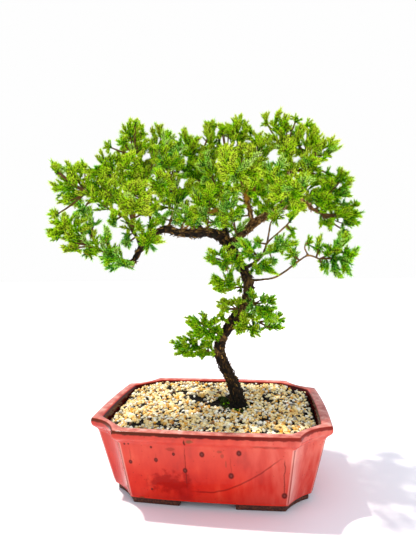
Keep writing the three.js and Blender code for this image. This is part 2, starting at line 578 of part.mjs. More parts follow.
// A shoot's stretches: its bare stem, and its needled part with the needle at its tip
function shootStretches(points, owner) {
  const tip = points.at(-1).clone().sub(points.at(-2)).setLength(NEEDLE_LEAN).add(points.at(-1));
  const [stem] = stretches(points.slice(0, 2), [SHOOT_RADIUS, SHOOT_RADIUS], owner);
  const needled = [...points.slice(1), tip];
  return [stem, ...stretches(needled, needled.map(() => REACH), owner)];
}

const taken = Object.entries(LIMBS).flatMap(([name, stations]) => (
  stretches(stations.map(v3), stations.map(([, , , diameter]) => diameter / 2), name)
));

// True where a shoot crosses neither another spray nor the wood. Its stem may touch its own
// limb and the stems of its own spray
function isClear(points, name, ownLimb) {
  return shootStretches(points, name).every((mine, i) => taken.every((other) => {
    if (i === 0 && other.owner === ownLimb) return true;
    const own = other.owner === name;
    if (own && (mine.radius < REACH || other.radius < REACH)) return true;
    const room = (mine.radius + other.radius) * (own ? SAME_SPRAY_SHARE : 1);
    return distanceBetween(mine.from, mine.to, other.from, other.to) > room + CLEARANCE;
  }));
}

// The curve from a base to a tip, setting out along a given way and then turning upwards
function shootCurve(base, tip, way) {
  const length = base.distanceTo(tip);
  const bend = base.clone().lerp(tip, BEND_PLACE).addScaledVector(way, BEND_OUT * length);
  bend.z -= BEND_SAG * length;
  return new THREE.QuadraticBezierCurve3(base, bend, tip);
}

// Points on the curve: its base, and then evenly from the end of its bare part to its tip
function pointsOn(curve) {
  const needled = curve.getLength() * (1 - BARE_SHARE) - NEEDLE_LEAN;
  const steps = Math.max(2, Math.round(needled / NEEDLE_SPACING));
  const shares = Array.from({ length: steps + 1 }, (_, i) => mix(BARE_SHARE, 1, i / steps));
  return [0, ...shares].map((share) => curve.getPointAt(share));
}

// The tips of a spray are spread over its space by the golden angle, round its own direction
function tipFor({ centre, size, shoots }, along, i, turn, pull) {
  const cosine = 1 - (i + FIRST_TIP) / shoots * (1 - WIDEST);
  const sine = Math.sqrt(1 - cosine * cosine);
  const angle = i * GOLDEN_ANGLE + turn;
  const [{ side, up }] = framesAlong([new THREE.Vector3(), along]);
  return along.clone().multiplyScalar(cosine)
    .addScaledVector(side, sine * Math.cos(angle))
    .addScaledVector(up, sine * Math.sin(angle))
    .multiply(v3(size).multiplyScalar(pull / 2))
    .add(v3(centre));
}

// Each shoot is tried in a few places, and left out where none is clear. The first one leaves
// the twig's end at a slant, so its base is moved out until its edge is clear of the twig
function spray(name, place, seed) {
  const random = randomStream(seed);
  const [before, end] = LIMBS[place.limb].slice(-2).map(v3);
  const twigWay = end.clone().sub(before).normalize();
  const start = end.addScaledVector(twigWay, GAP);
  const along = v3(place.centre).sub(start).normalize();
  const parts = [];
  let stem = null;
  for (let i = 0; i < place.shoots; i++) {
    const base = stem ? stem.getPointAt(FORKS_FROM + FORKS_OVER * i / place.shoots) : start;
    const way = stem ? along : twigWay;
    const firstTurn = random() * 2 * Math.PI;
    for (let attempt = 0; attempt < TRIES; attempt++) {
      const tip = tipFor(place, along, i, firstTurn + attempt * TURN_A_TRY, 1 - attempt * PULL_A_TRY);
      const curve = shootCurve(base, tip, way);
      const points = pointsOn(curve);
      if (!stem) {
        const sine = points[1].clone().sub(start).normalize().cross(twigWay).length();
        points[0].addScaledVector(twigWay, SHOOT_RADIUS * sine);
      }
      if (!isClear(points, name, place.limb)) continue;
      stem ??= curve;
      taken.push(...shootStretches(points, name));
      parts.push(shoot(points));
      break;
    }
  }
  return joined(parts);
}

// The whole, as named meshes

const bonsai = new THREE.Group();

function addPiece(name, shape, [colour, roughness, metalness]) {
  const material = new THREE.MeshStandardMaterial({ color: colour, roughness, metalness });
  const mesh = new THREE.Mesh(geometryOf(shape), material);
  mesh.name = name;
  bonsai.add(mesh);
}

addPiece('pot', pot(), FINISHES.glaze);
addPiece('foot_front_left', foot(-1, -1), FINISHES.clay);
addPiece('foot_front_right', foot(1, -1), FINISHES.clay);
addPiece('foot_back_left', foot(-1, 1), FINISHES.clay);
addPiece('foot_back_right', foot(1, 1), FINISHES.clay);
addPiece('drain_screen_left', drainScreen(-1), FINISHES.plastic_mesh);
addPiece('drain_screen_right', drainScreen(1), FINISHES.plastic_mesh);
addPiece('soil', soil(), FINISHES.soil);
addPiece('gravel', gravel(), FINISHES.gravel);
addPiece('wood', wood(), FINISHES.bark);
Object.entries(SPRAYS).forEach(([name, place], i) => {
  addPiece(`spray_${name}`, spray(name, place, FIRST_SPRAY_SEED + i), FINISHES.needles);
});

export default bonsai;
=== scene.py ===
import math
import random
from functools import partial

import bmesh
import bpy
import numpy as np
from mathutils import Euler, Matrix, Vector, noise
from mathutils.kdtree import KDTree


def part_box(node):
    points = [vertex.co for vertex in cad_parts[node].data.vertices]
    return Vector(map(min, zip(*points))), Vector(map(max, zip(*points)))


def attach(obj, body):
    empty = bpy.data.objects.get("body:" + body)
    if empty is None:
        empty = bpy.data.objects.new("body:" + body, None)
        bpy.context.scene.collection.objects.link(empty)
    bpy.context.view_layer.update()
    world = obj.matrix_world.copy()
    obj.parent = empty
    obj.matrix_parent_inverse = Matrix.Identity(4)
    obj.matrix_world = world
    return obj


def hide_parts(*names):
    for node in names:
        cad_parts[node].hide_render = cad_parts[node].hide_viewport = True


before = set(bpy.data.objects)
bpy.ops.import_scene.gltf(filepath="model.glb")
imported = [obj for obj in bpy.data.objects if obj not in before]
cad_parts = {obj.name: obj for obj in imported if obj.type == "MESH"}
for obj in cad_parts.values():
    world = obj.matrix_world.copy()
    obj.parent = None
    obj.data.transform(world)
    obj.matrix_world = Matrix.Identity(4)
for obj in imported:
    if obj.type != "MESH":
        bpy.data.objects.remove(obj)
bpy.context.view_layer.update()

# A needle juniper bonsai in a red glazed pot. Sizes below are in millimetres unless a comment
# says otherwise. +X is to the right in the photograph and +Y goes away from the camera.

MM = 0.001

# The camera, as solved from the pot's corners in the photograph

CAMERA_PLACE = (44.17, -368.33, 195.42)
CAMERA_AZIMUTH = 7.47
CAMERA_ELEVATION = 1.226
CAMERA_ROLL = -0.875
CAMERA_LENS = 25.272
CAMERA_SENSOR = 36
PICTURE = (416, 555)  # the photograph's pixels across and down

# The light: an even white room, one lamp high on the left, as the pot's shadow shows, and a weak,
# broad one low on the right

FLOOR_SIZE = 12  # metres
KEY_WAY = (-0.42, 0.04, 1)
KEY_STRENGTH = 3.2
KEY_ANGLE = 2  # degrees across, which softens the shadows
FILL_PLACE = (420, -260, 120)
FILL_SIZE = 350
FILL_POWER = 0.35
KEY_COLOUR = "#fff6ea"
ROOM_LIGHT = "#eef1fc"
ROOM_SEEN = "#fefefe"

# The pot's driving sizes

RIM_HALF = (101.5, 76)
RIM_CUT = (27.9, 24.6)
FOOT_HALF = (85.9, 57.6)
FOOT_CUT = (21.1, 20.9)
POT_HEIGHT = 69.2
FEET_HEIGHT = 5
LIP_OVERHANG = 5.2
LIP_DEPTH = 11.7
WALL_TOP = POT_HEIGHT - LIP_DEPTH
WALL = 5.4
FLOOR_TOP = 10.5
COVE_AT_RIM = 5
COVE_AT_FOOT = 2
SIDE_BOW = 2  # of each side's middle, outwards
CUT_PER_INSET = 0.3
FOOT_INSET = 2.6
FOOT_BREADTH = 9
FRONT_ARCH = 46
SIDE_ARCH = 30
DRAIN_PLACE = 45
DRAIN_DIAMETER = 16
SMOOTH_ANGLE = math.radians(35)  # between faces, above which the pot's edges stay sharp

# The rings of the pot's skin, from its underside up the wall, over the lip and down inside. Each has
# a height and an inset: from the foot's outline, from the rim's, or from the wall's outside for the
# inner ones. The wall's own rings have a height alone

FOOT_RINGS = [(FEET_HEIGHT, 6), (FEET_HEIGHT, 1.6), (5.3, 0.8), (5.9, 0.2), (6.8, 0)]
WALL_RINGS = [9, 16, 24, 32, 40, 48, 54, 56.8]
LIP_RINGS = [
    (57.7, 5), (58.6, 4.5), (59.4, 3.8), (60.2, 2.9), (61, 2.1), (62, 1.1), (63, 0.5), (64.2, 0.1),
    (65.6, 0), (67, 0), (67.9, 0.2), (68.6, 0.7), (69, 1.4), (69.2, 2.6), (69.2, 5.6), (69.05, 7.2),
    (68.7, 8.1), (68, 8.7), (67, 9.3), (65.5, 10),
]
INNER_RINGS = [
    (62, WALL), (50, WALL), (30, WALL), (FLOOR_TOP + 1.5, WALL), (FLOOR_TOP, WALL + 1.5),
    (FLOOR_TOP, WALL + 8),
]

SOIL_TOP = 56
GRAVEL_TOP = 60.5

# The trunk, the limbs and the twigs: X, Y, Z and diameter at each point, innermost first

LIMBS = {
    "trunk": [(18, 12, 26, 4), (20, 10, 40, 10), (22, 9, 52, 18), (23, 8, 58, 21), (22, 8, 66, 16.5),
        (20, 8, 78, 13), (16, 8, 88, 11.5), (9, 7, 103, 11), (5, 6, 115, 11), (7, 5, 126, 10.5),
        (13, 4, 137, 10), (21, 3, 149, 10.5), (29, 3, 159, 10.5), (33, 4, 169, 10), (34, 5, 180, 10.5),
        (31, 5, 191, 10), (26, 5, 201, 9), (21, 5, 211, 9.5), (16, 5, 218, 12)],
    "left_limb": [(17, 5, 217, 11), (7, 1, 227, 10), (-4, -4, 230, 9), (-17, -9, 229, 8.5),
        (-30, -13, 230, 7.5), (-40, -16, 233, 7), (-49, -19, 229, 6.5), (-57, -22, 223, 6.5),
        (-62, -24, 216, 6), (-70, -30, 199, 5)],
    "right_limb": [(17, 5, 217, 10), (25, 3, 225, 9), (37, 0, 235, 8), (51, -4, 244, 7.2),
        (66, -8, 252, 6.4), (78, -8, 257, 5), (88, 0, 254, 4), (95, 8, 250, 3.2)],
    "left_rise": [(-62, -24, 217, 4), (-65, -28, 226, 3.6), (-69, -31, 233, 3.2), (-73, -33, 242, 2.8),
        (-77, -34, 253, 2.4)],
    "far_left": [(-73, -33, 242, 2.8), (-86, -32, 249, 2.4), (-100, -31, 260, 2.1), (-110, -30, 267, 2)],
    "left_inner": [(-77, -34, 252, 2.4), (-85, -29, 260, 2)],
    "left_upper": [(-77, -34, 252, 2.4), (-84, -26, 269, 2.2), (-91, -20, 280, 2)],
    "left_front": [(-69, -31, 233, 3.2), (-66, -39, 240, 2.2)],
    "crown_left": [(-57, -22, 223, 4), (-55, -18, 234, 3.4), (-56, -14, 247, 3), (-61, -8, 262, 2.8),
        (-64, -4, 274, 2.6), (-69, 0, 293, 2.3), (-75, 3, 308, 2)],
    "crown_right": [(-64, -4, 274, 2.6), (-60, 3, 291, 2)],
    "crown_low": [(-61, -8, 262, 2.8), (-68, -10, 271, 2)],
    "low_left": [(-68, -29, 203, 3), (-76, -32, 205, 2.5), (-85, -36, 209, 2.3), (-97, -38, 214, 2),
        (-105, -38, 218, 2)],
    "low_left_up": [(-85, -36, 209, 2.3), (-85, -40, 216, 2)],
    "link": [(-97, -38, 214, 2), (-103, -34, 222, 2)],
    "low_left_down": [(-76, -32, 205, 2.5), (-79, -36, 201, 2)],
    "limb_end": [(-57, -22, 223, 4), (-51, -31, 225, 2)],
    "left_middle": [(-39, -15, 232, 3.4), (-35, -13, 245, 3), (-31, -11, 255, 2.8),
        (-32, -8, 268, 2.4), (-37, -8, 282, 2)],
    "left_middle_low": [(-32, -8, 267, 2.4), (-37, -12, 269, 2)],
    "small_left": [(-28, -12, 230, 3), (-25, -16, 236, 2)],
    "above_fork": [(-4, -4, 230, 3.4), (-2, -9, 239, 2)],
    "fork_front": [(23, 3, 223, 3.4), (23, -6, 232, 2)],
    "middle_rise": [(14, 7, 219, 5.5), (11, 14, 241, 5), (10, 18, 261, 4.5), (2, 22, 275, 3.6),
        (-3, 26, 290, 3), (-5, 27, 300, 2.2)],
    "middle_left": [(-3, 26, 290, 3), (-11, 24, 298, 2.4), (-15, 22, 304, 2)],
    "middle_low": [(2, 22, 275, 3.6), (-7, 17, 280, 2.2)],
    "middle_right": [(10, 18, 261, 4.5), (8, 16, 275, 3), (10, 15, 291, 2.6), (14, 18, 303, 2)],
    "middle_front": [(8, 16, 275, 3), (6, 0, 274, 2.2), (5, -8, 274, 2)],
    "front_rise": [(37, 0, 235, 5.4), (37, -4, 248, 4.6), (34, -8, 256, 4), (31, -18, 266, 3.2),
        (30, -28, 270, 2.2)],
    "inner_right": [(34, -8, 256, 4), (39, 2, 271, 3), (42, 11, 287, 2.6), (44, 14, 296, 2)],
    "inner_low": [(39, 2, 270, 3), (45, 1, 273, 2)],
    "right_end": [(95, 8, 249, 3.2), (100, 12, 252, 2.6), (106, 14, 259, 2)],
    "right_hanging": [(95, 8, 250, 3.2), (104, 14, 246, 2)],
    "right_rise": [(67, -8, 252, 5), (72, -2, 267, 4), (74, 4, 283, 3.4), (73, 8, 299, 2.6),
        (69, 10, 307, 2)],
    "right_outer": [(78, -8, 256, 4.4), (87, 4, 271, 3.2), (91, 11, 286, 2.6), (91, 14, 300, 2)],
    "right_arm": [(91, 11, 285, 2.6), (99, 17, 298, 2)],
    "right_front": [(75, -8, 255, 3.4), (72, -22, 252, 2)],
    "right_inner": [(55, -5, 246, 3.4), (57, -11, 255, 2)],
    "long_twig": [(32, 3, 197, 4.4), (38, -4, 199, 3.8), (43, -10, 203, 3.2), (48, -14, 208, 2.9),
        (52, -20, 218, 2.2), (60, -24, 225, 2), (68, -26, 232, 2)],
    "dark_twig": [(48, -14, 208, 2.9), (51, -14, 216, 2.3), (53, -13, 225, 2.1), (55, -12, 236, 2)],
    "under_fork": [(43, -10, 203, 3.2), (42, -15, 208, 2)],
    "under_limb": [(48, -14, 208, 2.9), (55, -18, 210, 2)],
    "under_twig": [(38, -4, 199, 3.8), (43, -11, 197, 2)],
    "long_arch": [(35, 3, 184, 3.6), (47, -6, 185, 2.5), (58, -12, 187, 2.3), (68, -16, 193, 2.2),
        (77, -18, 200, 2.1), (87, -18, 206, 2), (97, -16, 203, 2)],
    "arch_fork": [(87, -18, 206, 2), (84, -20, 213, 1.8), (86, -21, 218, 1.6)],
    "trunk_left_high": [(26, 4, 202, 3.6), (20, -7, 201, 2.2)],
    "trunk_left_mid": [(31, 4, 178, 3.6), (22, -7, 178, 2)],
    "trunk_right": [(32, 2, 166, 3.4), (39, -9, 163, 2)],
    "trunk_right_low": [(29, 2, 156, 3), (37, -4, 150, 2.4), (43, -6, 146, 2)],
    "trunk_right_hanging": [(30, 1, 156, 3), (33, -9, 148, 2)],
    "trunk_behind": [(21, 4, 149, 3.2), (23, 14, 142, 2)],
    "trunk_left_low": [(27, 2, 156, 3), (23, -6, 158, 2)],
    "low_left_branch": [(9, 4, 130, 3), (2, -3, 136, 2)],
    "lowest_branch": [(5, 6, 115, 3), (-5, 1, 116, 2)],
    "back_middle": [(16, 7, 220, 5), (11, 28, 236, 4.4), (2, 46, 254, 3.4), (-6, 54, 270, 2.2)],
    "back_left": [(-6, -3, 230, 4.6), (-16, 18, 241, 4), (-30, 33, 257, 3.2), (-40, 40, 272, 2.2)],
    "back_far_left": [(-30, 33, 256, 3.2), (-56, 34, 262, 2.6), (-74, 35, 268, 2)],
    "back_right": [(36, 0, 234, 4.6), (47, 24, 248, 3.6), (56, 42, 264, 2.8), (58, 50, 274, 2)],
    "back_far_right": [(47, 24, 247, 3.6), (68, 34, 254, 2.6), (84, 40, 262, 2)],
}

# The side roots, in the soil

ROOTS = {
    "root_front": [(23, 8, 50, 10), (28, -10, 44, 6), (34, -28, 38, 3)],
    "root_right": [(23, 8, 50, 10), (42, 12, 45, 6.4), (62, 14, 38, 3)],
    "root_back": [(22, 8, 48, 9), (14, 28, 42, 5.6), (6, 42, 36, 3)],
    "root_left": [(22, 8, 50, 10), (2, 4, 44, 6.4), (-22, 2, 37, 3)],
}

PATH_STEP = 1.5  # between the points of a limb's smooth curve
WOOD_VOXEL = 0.76
PLATE_WIDTH = 2.5  # of the bark's plates, across the limb
PLATE_LENGTH = 5.2
RELIEF = (0.22, 0.13)  # of the plates, and its growth with the limb's radius
FLAKES_PER_STEP = 2.6
SAWN_END = (-70.5, -30.5, 198)  # of the left limb
THICK_RADIUS = 2  # limbs above this carry full bark, thinner ones are smoother
THIN_RADIUS = 1.1  # and those below this are smooth
FLAKED_LIMBS = ("trunk", "left_limb", "right_limb", "middle_rise", "front_rise", "right_rise")
STUB_SHARE = 0.12  # of the flakes that are stubs of dead twigs

# Shoots and needles

NEEDLE_LENGTH = 3
NEEDLE_WIDTH = 1
WHORL_SPACING = (1.45, 3)  # on the shoots outside and on those inside the crown
SHOOT_LENGTHS = (4.5, 5.5, 6.5, 7.5, 9)
SHOOT_CORE = 0.8  # radius of the closed green body of a shoot
SHOOT_SPACING = 1.8  # along a branchlet
SHOOT_LEAN = (12, 34)  # degrees from the branchlet
BRANCHLET_LENGTHS = (8, 11, 15, 20, 26)
BRANCHLET_KINDS = 3  # of each length
BRANCHLET_CURVE = 0.009  # upwards, per square mm of its length
STEM_LEVEL = -5  # marks a stem in the map of a branchlet
SPRAY_SWELL = 1.08  # the shoots' tips reach this share of the solid spray's half size
AREA_PER_BRANCHLET = 118  # square mm of a spray's surface that one branchlet serves
CLOTHED_FROM = 0.25  # share of a twig past which branchlets grow along it
BRANCHLET_PITCH = 2.8
BRANCHLET_REACH = (6, 16)
GOLDEN_ANGLE = math.pi * (3 - math.sqrt(5))
WIDEST = -0.75  # cosine of the widest angle between a branchlet and its spray's direction
DEFAULT_LOOK = (0.74, 0)
BARE_LIMBS = ("trunk", "left_limb", "right_limb", "long_arch", "arch_fork", "dark_twig", "long_twig")
STEM_RADII = (0.7, 0.65, 0.6, 0.55, 0.5, 0.45)  # of a tuft's stems, outwards
DEAD_AGE = 0.2  # of brown needles
DEAD_SHARE = {"patch": 0.4, "inner": 0.05, "outer": 0}  # of the branchlets, by where they grow
BLUE_SHARE = (0.06, 0.45)  # of the branchlets in a plain green spray and in a bluish one

# Tufts between the sprays, each on a thin twig from the nearest limb: its middle and its size.
# Each shares the needles of the spray beside it

TUFTS = [
    ((-43, -16, 243), (23, 18, 15)), ((-14, -14, 239), (22, 16, 11)), ((7, -16, 238), (18, 16, 13)),
    ((-72, -30, 226), (9, 10, 16)), ((69, 0, 304), (18, 22, 22)), ((91, 5, 293), (22, 24, 17)),
    ((34, -20, 265), (14, 18, 21)), ((101, 5, 258), (25, 22, 17)), ((-101, -26, 286), (23, 24, 16)),
    ((-33, 0, 300), (16, 24, 19)), ((10, 12, 330), (12, 20, 15)), ((14, 10, 308), (14, 22, 17)),
    ((27, -14, 201), (14, 14, 14)), ((-106, -40, 212), (22, 16, 12)), ((18, -10, 190), (11, 12, 15)),
    ((84, 8, 322), (13, 22, 17)), ((0, -4, 131), (11, 12, 9)), ((-8, 2, 133), (16, 12, 8)),
    ((9, -8, 150), (11, 12, 11)), ((27, -8, 139), (15, 14, 11)), ((23, 24, 136), (18, 16, 16)),
    ((-48, -4, 300), (16, 24, 19)), ((79, -18, 252), (14, 16, 14)), ((-88, 8, 305), (18, 26, 22)),
    ((-20, 36, 300), (30, 26, 26)), ((32, 42, 300), (34, 28, 28)), ((82, 34, 290), (30, 26, 26)),
    ((-72, 22, 300), (26, 24, 24)), ((-108, 10, 272), (22, 26, 24)), ((-14, 46, 268), (26, 22, 22)),
    ((66, 30, 268), (26, 22, 20)), ((-46, 26, 268), (26, 22, 22)),
]

# More tufts, picked on the photograph: the middle's pixel across and down, half the width and
# height in pixels, and a guessed Y. Each group starts with the share of its tufts' width and height
# together that is their size in Y, and with the least of it

PICKED_TUFTS = [
    (0.6, 14, [
        (122, 143, 6, 9, -2), (144, 147, 8, 9, 4), (143, 132, 6, 7, 8), (135, 124, 5, 6, 4),
        (177, 145, 6, 7, 0), (189, 155, 7, 8, 8), (212, 125, 9, 5, 26), (229, 129, 5, 8, 22),
        (250, 131, 5, 7, 18), (265, 121, 5, 8, 14), (263, 144, 5, 7, 8), (296, 119, 6, 4, 12),
        (311, 131, 6, 8, 14), (315, 148, 6, 8, 16), (315, 168, 6, 6, 12), (329, 174, 7, 6, 12),
        (323, 188, 4, 9, 6), (329, 206, 12, 8, 12), (356, 214, 7, 8, 18), (345, 205, 8, 5, 14),
        (190, 187, 10, 9, -6), (233, 192, 8, 6, -22), (240, 207, 4, 8, -12), (256, 205, 4, 8, -10),
        (143, 213, 8, 4, -36), (137, 225, 3, 7, -38), (155, 208, 6, 6, -26), (176, 221, 6, 6, -16),
        (113, 222, 6, 10, -42), (82, 210, 7, 9, -34), (56, 172, 4, 7, -30), (73, 248, 12, 8, -36),
        (107, 252, 7, 6, -40), (127, 243, 5, 6, -40), (125, 265, 10, 4, -40), (103, 241, 5, 6, -40),
        (247, 246, 6, 6, -18), (259, 243, 5, 7, -22), (275, 251, 11, 6, -21), (272, 262, 6, 5, -19),
        (258, 273, 6, 5, -19), (212, 257, 7, 5, -14), (225, 266, 6, 5, -12), (221, 290, 9, 4, -12),
        (262, 299, 12, 5, -18), (319, 246, 6, 11, -12), (327, 222, 8, 5, 12), (238, 302, 5, 5, -9),
        (251, 308, 4, 6, -16), (267, 327, 9, 4, -9), (278, 318, 4, 4, -6), (191, 325, 8, 6, -6),
        (217, 328, 6, 5, -5), (208, 343, 8, 6, -2), (184, 352, 12, 3, -3), (200, 354, 7, 4, -2),
        (222, 307, 6, 5, -10), (295, 262, 6, 4, -16), (206, 216, 7, 6, -12), (106, 205, 8, 8, -30),
    ]),
    (0.5, 12, [
        (54, 168, 5, 8, -30), (84, 167, 5, 7, -28), (108, 147, 4, 5, -14), (224, 131, 4, 10, 20),
        (241, 122, 3, 8, 18), (307, 124, 5, 5, 12), (305, 143, 4, 6, 8), (319, 175, 5, 6, 10),
        (343, 178, 4, 8, 12), (355, 206, 6, 6, 14), (345, 231, 6, 8, 14), (326, 224, 6, 6, 8),
        (275, 217, 11, 8, -16), (292, 232, 9, 8, -20), (292, 252, 8, 9, -20), (250, 255, 6, 6, -18),
        (308, 243, 6, 7, -16), (323, 264, 7, 8, -14), (254, 295, 5, 6, -10), (270, 301, 8, 5, -18),
        (203, 323, 5, 5, -8), (225, 309, 6, 6, -10), (245, 325, 7, 9, -16), (272, 328, 12, 4, -16),
        (190, 356, 7, 4, -4), (206, 354, 8, 4, 0), (155, 190, 7, 8, -24), (185, 194, 8, 5, -10),
        (228, 188, 6, 7, -20), (262, 192, 6, 8, -10), (262, 208, 6, 7, -10), (240, 217, 8, 6, -8),
        (140, 230, 5, 8, -36), (151, 225, 8, 6, -28), (92, 222, 8, 8, -34), (66, 203, 8, 5, -32),
        (56, 216, 7, 5, -36), (57, 237, 6, 5, -36), (112, 266, 8, 4, -40),
    ]),
]

# Where most branchlets are dead, with the radius of the patch

BROWN = [((-4, -4, 252), 13), ((36, -12, 265), 12), ((-30, -10, 250), 7), ((16, 4, 262), 9)]

# Freshness of each spray's needles, from 0 for dead to 1 for lime, and its blue cast

LOOKS = {
    "left_front": (0.88, 0), "front": (0.86, 0), "limb_end": (0.60, 0), "small_left": (0.65, 1),
    "above_fork": (0.70, 0), "fork_front": (0.62, 1), "middle_front": (0.72, 1), "inner_low": (0.60, 0),
    "middle_low": (0.55, 0), "right_inner": (0.62, 1), "under_fork": (0.58, 1), "under_limb": (0.62, 1),
    "under_twig": (0.58, 1), "trunk_left_high": (0.60, 1), "trunk_left_mid": (0.60, 0),
    "trunk_right": (0.60, 1), "trunk_right_low": (0.60, 0), "right_end": (0.60, 0),
    "right_hanging": (0.60, 0), "right_front": (0.76, 0), "low_left_down": (0.56, 1),
    "low_left_up": (0.56, 1), "left_link": (0.58, 1), "lowest_branch": (0.54, 0),
    "low_left_branch": (0.56, 0), "arch_end": (0.58, 1), "left_middle": (0.70, 1),
}

# Gravel, the bare patches in it as X, Y and radius, and what grows on it

PEBBLE_PITCH = 4.3
PEBBLE_LAYERS = [(PEBBLE_PITCH, (1.8, 2.8), 0.2), (PEBBLE_PITCH * 0.86, (1.1, 2), 1.2)]  # pitch, radii, lift
PEBBLE_MASTERS = 8
ROW_SHARE = 0.87  # of the pitch, between the rows
JITTER = 0.22  # of the pitch, of each pebble's place
TRUNK_FOOT = (22.5, 8)
FOOT_CLEARANCE = 9.5  # round the middle of the trunk's foot
BARE_CHANCE = 0.84  # of a pebble to be left out in a bare patch
GRAVEL_HEAP = 5.8  # rise of the gravel towards the back
BARE_SOIL = [
    (-22, 22, 8), (-12, 17, 8), (-5, 9, 7), (6, 14, 8), (12, 24, 6), (36, 10, 7), (46, 20, 7), (54, 26, 5),
    (24, -4, 5),
]
MOSS = [
    (11, 3, 4.6, 2.4), (15, -3, 3, 1.6), (31, 0, 3, 1.6), (6, 7, 2.6, 1.4), (27, -5, 2.4, 1.2), (9, 16, 5, 4),
    (5, 22, 4, 2.6),
]
SEEDLINGS = [(19, -3, 2.6), (15, -4, 2.4), (23, -4, 2.4), (11, 1, 2.8), (8, 8, 3), (12, 12, 2.8)]

# The glaze on the pot's front: sizes of its clouds, runs and specks, the X and Z of a dark blob of
# painted reflection, then X, Z and radius of each drip's bead with the height and the strength of its
# thread, and the other marks with X and Z, half sizes, colour and strength

CLOUD_SIZE = 34
RUN_WIDTH = 7
RUN_LENGTH = 55
BLOT_SIZE = 6
# width of the brown break along each upright corner and of the painted highlight beside it
CORNER_WEAR_AND_HIGHLIGHT = 1.2
# width of the painted highlight on each cut corner's panel
PAINTED_HIGHLIGHT_WIDTH = 9
SPECK_PITCH = 4.5
GLAZE_ROUGHNESS = 0.13
DARK_REFLECTION_CENTRE = (-29, 23)
DARK_REFLECTION_HALF = (18, 9)
BEAD_SHAPE = (1, 1.25)  # width and height
DRIPS = [
    (-60.9, 40.4, 1.5, 55, 0.22), (-39.3, 43.8, 1.6, 52, 0.18), (-16, 35.6, 1.9, 56, 0.15),
    (-1.8, 51, 2, 55, 0.15), (20.5, 32.8, 2.2, 52, 0.25), (27.1, 53.4, 2, 57, 0.2),
    (61.9, 16.1, 2.2, 50, 0.6), (-64.4, 56.8, 0.8, 58, 0), (-61.1, 57, 0.7, 58, 0),
    (-42.4, 55.2, 0.9, 57, 0), (-45.1, 15.7, 0.9, 17, 0), (-24.5, 50, 1.2, 55, 0.3),
]
MARKS = [
    ((-14.8, 61.5), (1, 4.5), "#3c1a0c", 0.85), ((-11, 63), (3.6, 2.4), "#6b4a2c", 0.75),
    ((-15.4, 40), (0.35, 27), "#5a0f0a", 0.7), ((-26.7, 54.5), (4.5, 1.8), "#7a2c1c", 0.5),
    ((11.5, 54), (2.6, 1.6), "#6e3a2a", 0.5), ((14, 50), (1.6, 2.6), "#6e3a2a", 0.45),
    # The wide dark mark at X 49.2 and Z 60 is painted shade under the lip on the right
    ((16.8, 44), (0.9, 3.4), "#6e3a2a", 0.4), ((49.2, 60), (14, 2), "#4c1a10", 0.4),
    ((-54.5, 6.6), (3.4, 0.9), "#4a4022", 0.8),
]

# What the piece's map is called, and settings that many nodes share

MAP = "OFBake"
SMOOTH = {"interpolation_type": "SMOOTHSTEP"}
BLEND = {"out": 2, "data_type": "RGBA"}


def rgb(code):
    """Linear colour of an sRGB hex value."""
    channels = [int(code[i:i + 2], 16) / 255 for i in (1, 3, 5)]
    return [c / 12.92 if c <= 0.04045 else ((c + 0.055) / 1.055) ** 2.4 for c in channels] + [1.0]


def add(tree, kind, inputs=None, out=0, stops=None, **settings):
    """A node with its settings and links. Its inputs are values or other nodes' outputs, and it
    gives the one of its own outputs that is asked for."""
    node = tree.nodes.new("ShaderNode" + kind)
    for key, value in settings.items():
        setattr(node, key, value)
    for key, value in (inputs or {}).items():
        if isinstance(value, bpy.types.NodeSocket):
            tree.links.new(value, node.inputs[key])
        else:
            node.inputs[key].default_value = value
    if stops:
        elements = node.color_ramp.elements
        elements.remove(elements[1])
        elements[0].position = stops[0][0]
        elements[0].color = rgb(stops[0][1])
        for position, code in stops[1:]:
            elements.new(position).color = rgb(code)
    return node.outputs[out]


def new_material(name, **sockets):
    """A material, its tree, its shader with the shader's own sockets set, and what adds its nodes."""
    material = bpy.data.materials.new(name)
    material.use_nodes = True
    tree = material.node_tree
    shader = tree.nodes["Principled BSDF"]
    for key, value in sockets.items():
        shader.inputs[key.replace("_", " ")].default_value = value
    return material, tree, shader, partial(add, tree)


def millimetres(node):
    """The place on the object, in millimetres, and its three parts."""
    place = node("TexCoord", out="Object")
    scaled = node("VectorMath", {0: place, "Scale": 1 / MM}, operation="SCALE")
    parts = node("SeparateXYZ", {0: scaled}).node.outputs
    return scaled, parts["X"], parts["Y"], parts["Z"]


def from_oval(node, flat, centre, half):
    """How far a place on the front is from the centre of an oval, as a share of its half sizes."""
    away = node("VectorMath", {0: flat, 1: (centre[0], 0, centre[1])}, operation="SUBTRACT")
    away = node("VectorMath", {0: away, 1: (1 / half[0], 1, 1 / half[1])}, operation="MULTIPLY")
    return node("VectorMath", {0: away}, out="Value", operation="LENGTH")


# Finishes


